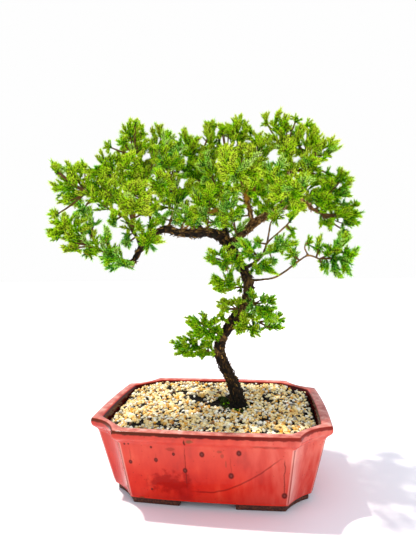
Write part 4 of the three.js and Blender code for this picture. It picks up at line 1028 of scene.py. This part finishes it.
def bark_relief(obj, paths):
    """Raises the bark in plates that follow each limb, and keeps its cracks, its plates' tones with a
    painted highlight towards their lifted ends, and its thickness.
    """
    owners = [(i, j) for i, (points, _) in enumerate(paths) for j in range(len(points))]
    tree = KDTree(len(owners))
    for k, (i, j) in enumerate(owners):
        tree.insert(paths[i][0][j], k)
    tree.balance()
    places = vertex_array(obj.data) / MM
    normals = normal_array(obj.data)
    steps = [np.linalg.norm(np.diff(points, axis=0), axis=1) for points, _ in paths]
    lengths = [np.concatenate([[0], np.cumsum(step)]) for step in steps]
    raised = np.zeros(len(places))
    colours = np.ones((len(places), 4), np.float32)
    for n, place in enumerate(places):
        _, k, _ = tree.find(place)
        i, j = owners[k]
        points, radii = paths[i]
        axis = points[min(j + 1, len(points) - 1)] - points[max(j - 1, 0)]
        axis /= np.linalg.norm(axis)
        out = place - points[j]
        out -= axis * out.dot(axis)
        along = lengths[i][j] + (place - points[j]).dot(axis)
        side = Vector(out / PLATE_WIDTH)
        spot = Vector((side.x + 7 * i, side.y + side.z * 0.7, along / PLATE_LENGTH))
        (near, second, *_), (centre, *_) = noise.voronoi(spot)
        crack = min(max((second - near) / 0.3, 0), 1)
        tilt = min(max(spot.z - centre.z, -0.6), 0.6)
        tone = noise.noise(centre * 3.1) * 0.5 + 0.5
        thick = min(max((radii[j] - THIN_RADIUS) / (THICK_RADIUS - THIN_RADIUS), 0), 1)
        buried = 0.3 if place[2] < GRAVEL_TOP else 1
        height = (RELIEF[0] + RELIEF[1] * min(radii[j], 8)) * buried * (0.35 + 0.65 * thick)
        uneven = 0.3 * noise.noise(Vector(place) * 0.9)
        raised[n] = height * (crack * (0.3 + 0.9 * tone) + 1.1 * tilt * crack + uneven - 0.6)
        # The plates' tone rises towards each plate's lifted end: a painted highlight
        colours[n, :3] = (1 - crack, min(max(tone + 0.35 * tilt, 0), 1), 1 - thick)
    places += normals * raised[:, None]
    move_points(obj.data, places * MM)
    paint(obj.data, "bark", colours)


def wood():
    """Trunk, limbs, twigs and roots in one skin, with bark in peeling plates."""
    paths = [*LIMB_PATHS.values(), *[smooth_path(stations) for stations in ROOTS.values()]]
    obj = tubes("bark", paths, 3)
    apply_modifier(obj, "REMESH", mode="VOXEL", voxel_size=WOOD_VOXEL * MM, adaptivity=0)
    apply_modifier(obj, "SMOOTH", factor=0.5, iterations=6)
    bark_relief(obj, paths)
    select_only(obj)
    bpy.ops.object.shade_smooth()
    return obj


def bark_flakes(rng):
    """Loose strips of bark with one end lifted, and the stubs of dead twigs."""
    strip = new_form(bpy.ops.mesh.primitive_grid_add, x_subdivisions=2, y_subdivisions=3, size=2)
    bpy.ops.transform.resize(value=(0.45, 1, 1))
    bpy.ops.object.transform_apply(scale=True)
    for vert in strip.data.vertices:
        reach = (vert.co.y + 1) / 2
        vert.co.z = 0.5 * reach ** 2 - 0.35 * abs(vert.co.x)
        vert.co.x *= 1 - 0.5 * reach ** 2
        vert.co.y += 1
    apply_modifier(strip, "SOLIDIFY", thickness=0.16, offset=0)
    stub = new_form(
        bpy.ops.mesh.primitive_cone_add, vertices=5, radius1=0.42, radius2=0.2, depth=1, location=(0, 0, 0.5),
    )
    bpy.ops.object.transform_apply(location=True)
    copies = []
    for name in FLAKED_LIMBS:
        points, radii = LIMB_PATHS[name]
        for _ in range(int(len(points) * FLAKES_PER_STEP)):
            j = rng.randrange(2, len(points) - 2)
            if points[j][2] < GRAVEL_TOP + 5:
                continue
            axis = Vector(points[j + 1] - points[j - 1]).normalized()
            out = axis.orthogonal().normalized()
            out.rotate(Matrix.Rotation(rng.uniform(0, 2 * math.pi), 3, axis))
            is_stub = rng.random() < STUB_SHARE
            centre = Vector(points[j]) + out * (radii[j] * (0.8 if is_stub else 1))
            if is_stub:
                lean = (out + axis * rng.uniform(-0.3, 0.8)).normalized()
                turn = standing(lean)
                size = Vector((1, 1, rng.uniform(1.4, 3.4)))
            else:
                way = axis if rng.random() < 0.5 else -axis
                turn = Matrix((way.cross(out), way, out)).transposed().to_4x4()
                size = Vector((rng.uniform(0.9, 1.9), rng.uniform(0.9, 2.1), rng.uniform(1.4, 3.4)))
            place = Matrix.Translation(centre * MM) @ turn @ Matrix.Diagonal((*(size * MM), 1))
            copy = placed(stub if is_stub else strip, place)
            paint(copy.data, "bark", [(0, rng.uniform(0.3, 1), 0, 1)] * len(copy.data.vertices))
            copies.append(copy)
    bpy.data.objects.remove(strip)
    bpy.data.objects.remove(stub)
    return joined("bark_flakes", copies)


# Shoots


def needle():
    """An awl-shaped needle along +Z, keeled outside and hollow on its inner side."""
    obj = new_form(
        bpy.ops.mesh.primitive_cone_add, vertices=3, radius1=NEEDLE_WIDTH / 2, radius2=0, depth=NEEDLE_LENGTH,
        end_fill_type="NOTHING", location=(0, 0, NEEDLE_LENGTH / 2), rotation=(0, 0, -math.pi / 2),
    )
    bpy.ops.object.transform_apply(location=True)
    bpy.ops.object.mode_set(mode="EDIT")
    bpy.ops.mesh.select_all(action="SELECT")
    bpy.ops.transform.resize(value=(0.6, 1, 1))
    bpy.ops.mesh.select_all(action="DESELECT")
    shape = bmesh.from_edit_mesh(obj.data)
    min(shape.faces, key=lambda face: face.calc_center_median().x).select_set(True)
    bmesh.update_edit_mesh(obj.data)
    bpy.ops.mesh.delete(type="FACE")
    bpy.ops.object.mode_set(mode="OBJECT")
    layer = obj.data.uv_layers[0]
    layer.name = MAP
    for loop, corner in zip(obj.data.loops, layer.data):
        place = obj.data.vertices[loop.vertex_index].co
        corner.uv = (place.z / NEEDLE_LENGTH, 0.5 + 0.5 * math.atan2(place.y, place.x) / math.pi)
    return obj


def shift_map(mesh, scale, start):
    """Scales and moves the piece's map."""
    set_map(mesh, map_array(mesh) * scale + start)


def set_age(mesh, age, is_blue):
    """Sets the age and the cast of a branchlet's needles in its map, and keeps its stem at its own place in
    the map.
    """
    u, v = map_array(mesh).T
    if age < 0.25:
        fresh = 0.17 + 0.04 * np.tanh(v)
    else:
        fresh = 0.67 + 0.32 * np.tanh((v + age - 0.6) / 0.35)
    v = np.where(v < STEM_LEVEL / 2, v - STEM_LEVEL, fresh)
    u = 0.46 * u + (0.52 if is_blue else 0.02)
    set_map(mesh, np.stack([u, v], 1))


def shoot_master(length, spacing, rng):
    """A blunt shoot along +Z: a green body with whorls of three needles that stand out all round."""
    source = needle()
    copies = []
    top = length - 0.75 * NEEDLE_LENGTH
    whorls = max(1, round(top / spacing))
    for whorl in range(whorls + 1):
        share = whorl / whorls
        for i in range(3):
            turn = whorl * math.pi / 3 + i * 2 * math.pi / 3 + rng.uniform(-0.25, 0.25)
            lean = math.radians(rng.uniform(36, 52) * (1 - share) + rng.uniform(14, 28) * share)
            place = (Matrix.Translation((0, 0, 0.3 + (top - 0.3) * share)) @ Matrix.Rotation(turn, 4, "Z")
                     @ Matrix.Translation((0.45, 0, 0)) @ Matrix.Rotation(lean, 4, "Y")
                     @ Matrix.Scale(rng.uniform(0.85, 1.1), 4))
            copy = placed(source, place)
            shift_map(copy.data, (1, 0.004), (0, rng.gauss(0, 0.11) + 0.12 * (share - 0.5)))
            copies.append(copy)
    body = length - 0.9
    core = new_form(
        bpy.ops.mesh.primitive_cone_add, vertices=4, radius1=SHOOT_CORE, radius2=0, depth=0.32 * body,
        end_fill_type="NOTHING", location=(0, 0, 0.84 * body),
    )
    bpy.ops.object.transform_apply(location=True)
    bpy.ops.object.mode_set(mode="EDIT")
    shape = bmesh.from_edit_mesh(core.data)
    for edge in shape.edges:
        edge.select_set(edge.is_boundary)
    bmesh.update_edit_mesh(core.data)
    bpy.ops.mesh.extrude_edges_move(TRANSFORM_OT_translate={"value": (0, 0, -0.68 * body)})
    bpy.ops.transform.resize(value=(0.65, 0.65, 1))
    bpy.ops.object.mode_set(mode="OBJECT")
    layer = core.data.uv_layers[0]
    layer.name = MAP
    # The body's place in the map gives it the needles' painted shade at their foot, and an older, darker
    # green
    for loop, corner in zip(core.data.loops, layer.data):
        place = core.data.vertices[loop.vertex_index].co
        corner.uv = (0.04 + 0.16 * place.z / length, 0.004 * (place.x > 0) - 0.2 + 0.16 * place.z / length)
    bpy.data.objects.remove(source)
    return joined(f"shoot_{length}", [*copies, core])


def band_map(mesh, height):
    """A map for bare stems: every face lies in one narrow band."""
    corners = [
        (0.1 + 0.3 * (k in (1, 2)), height + 0.01 * (k >= 2))
        for polygon in mesh.polygons for k in range(len(polygon.loop_indices))
    ]
    set_map(mesh, corners)


def branchlet_master(length, shoots, rng):
    """A branchlet along +Z that curves towards +X: a stem with shoots all the way to its tip."""
    count = round(length / SHOOT_SPACING)
    turn = rng.uniform(0, 2 * math.pi)
    points = [Vector((BRANCHLET_CURVE * z * z, 0, z)) for z in (length * k / 4 for k in range(5))]
    copies = []
    for k in range(count + 1):
        is_tip = k == count
        share = 1 if is_tip else 0.12 + 0.8 * k / count
        z = share * length
        tangent = Vector((2 * BRANCHLET_CURVE * z, 0, 1)).normalized()
        reach, master = shoots[rng.randrange(1, 4) if is_tip else rng.randrange(0, len(shoots))]
        at = Vector((BRANCHLET_CURVE * z * z, 0, z))
        if is_tip:
            at -= tangent * reach * 0.9
            out = tangent
        else:
            side = Vector((math.cos(turn + k * GOLDEN_ANGLE), math.sin(turn + k * GOLDEN_ANGLE), 0))
            angle = math.radians(rng.uniform(*SHOOT_LEAN))
            out = tangent * math.cos(angle) + side * math.sin(angle) + Vector((0.3, 0, 0))
            at -= tangent * 2
        out = (out + Vector([rng.gauss(0, 0.07) for _ in range(3)])).normalized()
        roll = Matrix.Rotation(rng.uniform(0, 2 * math.pi), 4, "Z")
        size = Matrix.Scale(rng.uniform(0.85, 1.1), 4)
        copy = placed(master, Matrix.Translation(at) @ standing(out) @ roll @ size)
        # Shoots further out and on the branchlet's curved side, which faces up, get fresher needles: younger
        # growth, and a painted highlight where the light falls from above
        shift_map(copy.data, (1, 1), (0, 0.42 * (share - 0.6) + 0.06 * out.x + rng.gauss(0, 0.1)))
        copies.append(copy)
    stem = tubes("stem", [(points, [0.55, 0.5, 0.45, 0.4, 0.3])], 0)
    stem.data.transform(Matrix.Scale(1 / MM, 4))
    band_map(stem.data, STEM_LEVEL + 0.25)
    return joined(f"branchlet_{length}", [stem, *copies])


def spread(centre, half, along, i, count, turn):
    """The tips of a spray are spread over its space by the golden angle, round its own direction."""
    cosine = 1 - (i + 0.35) / count * (1 - WIDEST)
    sine = math.sqrt(1 - cosine * cosine)
    angle = i * GOLDEN_ANGLE + turn
    side = along.orthogonal().normalized()
    up = along.cross(side)
    way = along * cosine + side * sine * math.cos(angle) + up * sine * math.sin(angle)
    return centre + Vector(a * b for a, b in zip(way, half))


def curved(base, tip, way, count):
    """Points on the curve of a branchlet, setting out along a way and then turning upwards."""
    length = (tip - base).length
    bend = base.lerp(tip, 0.45) + way * 0.14 * length - Vector((0, 0, 0.06 * length))
    shares = [k / (count - 1) for k in range(count)]
    return [(1 - t) ** 2 * base + 2 * t * (1 - t) * bend + t * t * tip for t in shares]


def branchlet(base, tip, look, masters, rng, inner=False):
    """A copy of the branchlet of the nearest length, from base to tip, with its hollow side up."""
    age, cast = look
    reach = (tip - base).length
    length, kinds = min(masters[inner].items(), key=lambda item: abs(item[0] - reach))
    out = (tip - base).normalized()
    side = Vector((0, 0, 1)) - out * out.z
    side = side.normalized() if side.length > 0.2 else out.orthogonal().normalized()
    side.rotate(Matrix.Rotation(rng.gauss(0, 0.5), 3, out))
    turned = Matrix((side, out.cross(side), out)).transposed().to_4x4()
    tilt = Matrix.Rotation(-math.atan(BRANCHLET_CURVE * length), 4, "Y")
    size = Matrix.Scale(min(max(reach / length, 0.8), 1.3) * MM, 4)
    piece = placed(kinds[rng.randrange(len(kinds))], Matrix.Translation(base * MM) @ turned @ tilt @ size)
    dying = DEAD_SHARE["inner" if inner else "outer"]
    if any((tip - Vector(place)).length < radius for place, radius in BROWN):
        dying = DEAD_SHARE["patch"]
    if rng.random() < dying:
        age = DEAD_AGE
    elif inner:
        age = max(age - 0.1, 0.3)
    # Branchlets that point up get fresher needles: younger growth, and a painted highlight where the light
    # falls from above
    set_age(piece.data, age + 0.08 * out.z + rng.gauss(0, 0.05), rng.random() < BLUE_SHARE[cast])
    return piece


def along_twig(twig, look, masters, rng):
    """Branchlets along the outer part of a twig."""
    points, _ = LIMB_PATHS[twig]
    length = float(np.linalg.norm(np.diff(points, axis=0), axis=1).sum())
    count = int(length * (1 - CLOTHED_FROM) / BRANCHLET_PITCH)
    grown = []
    turn = rng.uniform(0, 2 * math.pi)
    for i in range(count):
        share = CLOTHED_FROM + (1 - CLOTHED_FROM) * (i + 0.5) / count
        j = min(int(share * (len(points) - 1)), len(points) - 2)
        axis = Vector(points[j + 1] - points[j]).normalized()
        side = axis.orthogonal().normalized()
        side.rotate(Matrix.Rotation(turn + i * GOLDEN_ANGLE, 3, axis))
        way = (axis * 0.75 + side + Vector((0, 0, 0.15))).normalized()
        base = Vector(points[j])
        tip = base + way * rng.uniform(*BRANCHLET_REACH) * (0.75 + 0.5 * share)
        grown.append(branchlet(base, tip, look, masters, rng, share < 0.6))
    return grown


def unfit(base, tip):
    """How badly a point on a stem suits a branchlet: it is best about 11 mm off and below the tip."""
    return abs((tip - base).length - 11) + 0.5 * max(0, base.z - tip.z + 4)


def tuft(centre, size, start, look, masters, rng):
    """Branchlets over a space, forking from a few stems that rise from its start."""
    half = Vector(size) / 2
    radius = (half.x * half.y * half.z) ** (1 / 3)
    along = (centre - start).normalized()
    count = max(5, round(4 * math.pi * radius ** 2 / AREA_PER_BRANCHLET))
    stem_count = max(2, round(count / 6))
    stems = []
    for i in range(stem_count):
        end = spread(centre, half * min(0.5, radius / 30), along, i, stem_count, rng.uniform(0, 2 * math.pi))
        stems.append((curved(start, end, along, len(STEM_RADII)), STEM_RADII))
    bases = [point for points, _ in stems for point in points[2:]]
    grown = []
    for i in range(count):
        tip = spread(centre, half, along, i, count, rng.uniform(0, 2 * math.pi))
        inner = i % 3 == 2
        if inner:
            tip = tip.lerp(centre, rng.uniform(0.2, 0.5))
        base = min(bases, key=lambda point: unfit(point, tip) + 6 * rng.random())
        grown.append(branchlet(base, tip, look, masters, rng, inner))
    return stems, grown


def nearest_on_limbs(place):
    """The nearest point on a limb above the trunk's foot, and the limb's radius there."""
    stations = [
        (Vector(point), radius)
        for points, radii in LIMB_PATHS.values() for point, radius in zip(points, radii)
        if point[2] > GRAVEL_TOP + 20
    ]
    return min(stations, key=lambda station: (station[0] - place).length)


def spray(node, twigs, tufts, masters, seed):
    """A spray: branchlets at the twig's end, along its twigs and in the tufts beside it."""
    rng = random.Random(seed)
    look = LOOKS.get(node.removeprefix("spray_"), DEFAULT_LOOK)
    low, high = (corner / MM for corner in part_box(node))
    start = Vector(LIMBS[twigs[0]][-1][:3])
    stems, grown = tuft((low + high) / 2, (high - low) * SPRAY_SWELL, start, look, masters, rng)
    for twig in twigs:
        if twig not in BARE_LIMBS:
            grown += along_twig(twig, look, masters, rng)
    for centre, size in tufts:
        foot, radius = nearest_on_limbs(centre)
        reach = centre - foot
        start = foot + reach * max(0.3, 1 - 0.5 * min(size) / max(reach.length, 1))
        stems.append((curved(foot, start, reach.normalized(), 6), [min(0.9, radius)] * 3 + [0.8, 0.75, 0.7]))
        more_stems, more = tuft(centre, size, start, look, masters, rng)
        stems += more_stems
        grown += more
    stem = tubes("stems", stems, 0)
    band_map(stem.data, 0.07)
    return joined(f"{node}_shoots", [stem, *grown])


def camera_turn():
    """The turn of the photograph's camera."""
    return (Matrix.Rotation(math.radians(CAMERA_AZIMUTH), 4, "Z")
            @ Matrix.Rotation(math.radians(90 - CAMERA_ELEVATION), 4, "X")
            @ Matrix.Rotation(math.radians(CAMERA_ROLL), 4, "Z"))


def seen_at(across, down, y):
    """The place with this Y that the photograph shows at a pixel."""
    reach = CAMERA_LENS / CAMERA_SENSOR * PICTURE[1]
    way = camera_turn() @ Vector((across - PICTURE[0] / 2, PICTURE[1] / 2 - down, -reach))
    return Vector(CAMERA_PLACE) + way * ((y - CAMERA_PLACE[1]) / way.y)


def picked_tufts():
    """The middles and sizes, in whole millimetres, of the tufts picked on the photograph."""
    tufts = []
    for share, least, rows in PICKED_TUFTS:
        for across, down, half_width, half_height, y in rows:
            middle = seen_at(across, down, y)
            width = 2 * (seen_at(across + half_width, down, y) - middle).x
            height = 2 * (seen_at(across, down - half_height, y) - middle).z
            size = (round(width), round(max(least, share * (width + height))), round(height))
            tufts.append(((round(middle.x), y, round(middle.z)), size))
    return tufts


def twigs_of_sprays(nodes):
    """The twigs that each spray clothes, its own one first."""
    places = {node: vertex_array(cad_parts[node].data) / MM for node in nodes}

    def distance(name, node):
        """From the twig's end to the nearest point of the solid spray."""
        return float(np.linalg.norm(places[node] - np.array(LIMBS[name][-1][:3]), axis=1).min())

    twigs = {node: [min(LIMBS, key=lambda name: distance(name, node))] for node in nodes}
    own = [names[0] for names in twigs.values()]
    for name in LIMBS:
        if name not in BARE_LIMBS and name not in own:
            twigs[min(nodes, key=lambda node: distance(name, node))].append(name)
    return twigs


def tufts_of_sprays(nodes):
    """The tufts beside each spray."""
    middles = {node: sum(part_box(node), Vector()) / 2 / MM for node in nodes}
    tufts = {node: [] for node in nodes}
    for centre, size in [*TUFTS, *picked_tufts()]:
        nearest = min(nodes, key=lambda node: (middles[node] - Vector(centre)).length)
        tufts[nearest].append((Vector(centre), Vector(size)))
    return tufts


def seedlings(master, length, rng):
    """Seedlings on the moss at the foot of the trunk."""
    grown = []
    for x, y, height in SEEDLINGS:
        foot = Matrix.Translation(Vector((x, y, level(x, y))) * MM)
        for i in range(4):
            lean = Matrix.Rotation(i * 1.6 + x, 4, "Z") @ Matrix.Rotation(rng.uniform(0.1, 0.7), 4, "Y")
            copy = placed(master, foot @ lean @ Matrix.Scale(height * rng.uniform(0.7, 1.1) / length * MM, 4))
            set_age(copy.data, 0.5 + rng.gauss(0, 0.05), False)
            grown.append(copy)
    return joined("seedlings", grown)


def sprays(material):
    """Every spray of the tree, and the seedlings under it."""
    rng = random.Random(11)
    masters, spare = [], []
    for spacing in WHORL_SPACING:
        shoots = [(length, shoot_master(length, spacing, rng)) for length in SHOOT_LENGTHS]
        masters.append({
            length: [branchlet_master(length, shoots, rng) for _ in range(BRANCHLET_KINDS)]
            for length in BRANCHLET_LENGTHS
        })
        spare += [shoot for _, shoot in shoots] + [kind for kinds in masters[-1].values() for kind in kinds]
    nodes = sorted(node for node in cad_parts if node.startswith("spray_"))
    twigs, tufts = twigs_of_sprays(nodes), tufts_of_sprays(nodes)
    for i, node in enumerate(nodes):
        finish_piece(spray(node, twigs[node], tufts[node], masters, 500 + i), material, "needles", node)
    finish_piece(seedlings(shoots[0][1], shoots[0][0], rng), material, "needles")
    for master in spare:
        bpy.data.objects.remove(master)


# Soil, gravel and moss


def level(x, y):
    """Height of the gravel. It is heaped towards the back, and a little uneven."""
    heap = min(max((y + 20) / 80, 0), 1)
    rise = 1.1 * noise.noise(Vector((x / 22, y / 22, 9.1)))
    return GRAVEL_TOP + GRAVEL_HEAP * heap * heap * (3 - 2 * heap) + rise


def inside_pot(x, y, spare):
    """True for a place inside the pot's wall at the top of the gravel."""
    half, cut, _ = wall_at(GRAVEL_TOP)
    a, b = (size - WALL - spare for size in half)
    past = (abs(x) - (a - cut[0])) / cut[0] + (abs(y) - (b - cut[1])) / cut[1]
    return abs(x) < a and abs(y) < b and past < 1 - spare / 30


def grit_bed(material):
    """The crumbly bed that the pebbles lie in, near black as painted shade in the gaps between them."""
    half, cut, _ = wall_at(GRAVEL_TOP)
    edge = ring_at(SOIL_TOP + 0.3, [size - WALL - 0.4 for size in half], cut, 0)
    rings = [edge]
    for inset in (0.4, 1.2, 8, 16, 26, 36, 48, 60):
        share = 1 - inset / 72
        spots = [(corner.x * share, corner.y * share) for corner in edge]
        rings.append([Vector((x, y, level(x, y) - 0.4)) for x, y in spots])
    finish_piece(shell("grit_bed", rings), material, "soil", "gravel")


def pebble_masters(rng):
    """Pebbles of a few shapes, from worn to angular. Their map rises from the foot to the top."""
    masters = []
    for i in range(PEBBLE_MASTERS):
        obj = new_form(bpy.ops.mesh.primitive_ico_sphere_add, subdivisions=2, radius=1)
        apply_modifier(obj, "DECIMATE", ratio=0.4)
        bpy.ops.object.mode_set(mode="EDIT")
        bpy.ops.mesh.select_all(action="SELECT")
        bpy.ops.transform.vertex_random(offset=0.2, uniform=1, normal=0, seed=i)
        size = (rng.uniform(0.85, 1.2), rng.uniform(0.65, 0.9), rng.uniform(0.55, 0.8))
        bpy.ops.transform.resize(value=size)
        bpy.ops.object.mode_set(mode="OBJECT")
        heights = vertex_array(obj.data)[:, 2]
        low, high = heights.min(), heights.max()
        layer = map_layer(obj.data)
        for polygon in obj.data.polygons:
            for k, corner in enumerate(polygon.loop_indices):
                height = heights[obj.data.loops[corner].vertex_index]
                layer.data[corner].uv = (0.002 * k, 0.01 + 0.98 * (height - low) / (high - low))
        while len(obj.data.uv_layers) > 1:
            obj.data.uv_layers.remove(next(other for other in obj.data.uv_layers if other.name != MAP))
        masters.append(obj)
    return masters


def is_bare(x, y):
    """True where soil shows: in the bare patches, and here and there between them."""
    share = 0.75 * noise.noise(Vector((x / 13, y / 13, 3.3)))
    share += sum(0.7 * math.exp(-((x - a) ** 2 + (y - b) ** 2) / r ** 2) for a, b, r in BARE_SOIL)
    return share > 0.3


def gravel(material):
    """Pebbles heaped over the soil, in two sizes, with bare soil showing here and there."""
    rng = random.Random(5)
    masters = pebble_masters(rng)
    copies = []
    for pitch, sizes, lift in PEBBLE_LAYERS:
        rows = int(2 * RIM_HALF[1] / (pitch * ROW_SHARE)) + 2
        columns = int(2 * RIM_HALF[0] / pitch) + 2
        for row in range(rows):
            for column in range(columns):
                x = (column - columns / 2 + 0.5 * (row % 2)) * pitch + rng.gauss(0, JITTER * pitch)
                y = (row - rows / 2) * pitch * ROW_SHARE + rng.gauss(0, JITTER * pitch)
                size = rng.uniform(*sizes)
                if not inside_pot(x, y, size * 0.8) or math.dist((x, y), TRUNK_FOOT) < FOOT_CLEARANCE:
                    continue
                if is_bare(x, y) and rng.random() < BARE_CHANCE:
                    continue
                place = Vector((x, y, level(x, y) + lift + rng.uniform(-0.5, 0.5)))
                turns = (rng.gauss(0, 0.4), rng.gauss(0, 0.4), rng.uniform(0, 2 * math.pi))
                turn = Euler(turns).to_matrix().to_4x4()
                place = Matrix.Translation(place * MM) @ turn @ Matrix.Scale(size * MM, 4)
                copy = placed(masters[rng.randrange(len(masters))], place)
                shift_map(copy.data, (1, 1), (rng.random() * 0.99, 0))
                copies.append(copy)
    for master in masters:
        bpy.data.objects.remove(master)
    finish_piece(joined("pebbles", copies), material, "gravel", "gravel")


def moss(material):
    """Moss in low cushions at the foot of the trunk."""
    parts = []
    for x, y, width, height in MOSS:
        place = Vector((x, y, level(x, y) + 0.6)) * MM
        cushion = new_form(bpy.ops.mesh.primitive_ico_sphere_add, subdivisions=4, radius=MM, location=place)
        bpy.ops.transform.resize(value=(width, width * 0.75, height))
        bpy.ops.object.transform_apply(location=True, rotation=False, scale=True)
        parts.append(cushion)
    obj = joined("moss", parts)
    places = vertex_array(obj.data)
    spots = [Vector(place) / MM for place in places]
    bumps = np.array([noise.noise(spot * 0.9) + 0.6 * noise.noise(spot * 2.1) for spot in spots])
    places += normal_array(obj.data) * bumps[:, None] * 0.8 * MM
    move_points(obj.data, places)
    finish_piece(obj, material, "soil")


# The stage


def lamp(name, kind, place, **settings):
    """A lamp at a place, turned towards the middle of the floor."""
    light = bpy.data.lights.new(name, kind)
    for key, value in settings.items():
        setattr(light, key, value)
    obj = bpy.data.objects.new(name, light)
    obj.location = place
    obj.rotation_euler = (-place).to_track_quat("-Z", "Y").to_euler()
    bpy.context.scene.collection.objects.link(obj)
    return obj


def stage():
    """A plain pale floor and a white room, with a lamp high on the left and a weak one on the right."""
    floor = new_form(bpy.ops.mesh.primitive_plane_add, size=FLOOR_SIZE)
    floor.name = "floor"
    material, _, shader, _ = new_material("white paper sweep", Roughness=0.95, Specular_IOR_Level=0.1)
    shader.inputs["Base Color"].default_value = rgb("#f7f6fa")
    floor.data.materials.append(material)
    world = bpy.data.worlds.new("white room")
    bpy.context.scene.world = world
    world.use_nodes = True
    tree = world.node_tree
    seen = add(tree, "LightPath", out="Is Camera Ray")
    tint = add(tree, "Mix", {0: seen, 6: rgb(ROOM_LIGHT), 7: rgb(ROOM_SEEN)}, **BLEND)
    tree.links.new(tint, tree.nodes["Background"].inputs["Color"])
    key_place, key_colour = Vector(KEY_WAY), rgb(KEY_COLOUR)[:3]
    lamp("key", "SUN", key_place, energy=KEY_STRENGTH, angle=math.radians(KEY_ANGLE), color=key_colour)
    fill = lamp("fill", "AREA", Vector(FILL_PLACE) * MM, energy=FILL_POWER, size=FILL_SIZE * MM)
    fill.visible_camera = False
    bpy.context.scene.view_settings.view_transform = "Standard"


def camera():
    """The camera of the photograph."""
    data = bpy.data.cameras.new("camera")
    data.sensor_width = CAMERA_SENSOR
    data.lens = CAMERA_LENS
    data.clip_start = 10 * MM
    obj = bpy.data.objects.new("camera", data)
    obj.matrix_world = Matrix.Translation(Vector(CAMERA_PLACE) * MM) @ camera_turn()
    bpy.context.scene.collection.objects.link(obj)
    bpy.context.scene.camera = obj


camera()
stage()
bark = juniper_bark()
soil = potting_soil()
finish_piece(pot(), red_glaze(), "glaze", "pot")
finish_piece(feet(), fired_clay(), "clay", *[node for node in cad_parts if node.startswith("foot_")])
finish_piece(wood(), bark, "bark", "wood")
finish_piece(bark_flakes(random.Random(3)), bark, "bark", "wood")
grit_bed(soil)
gravel(river_gravel())
moss(cushion_moss())
sprays(juniper_needles())
mesh = green_polythene()
for name in ("drain_screen_left", "drain_screen_right"):
    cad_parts[name].material_slots[0].material = mesh
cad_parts["soil"].material_slots[0].material = soil
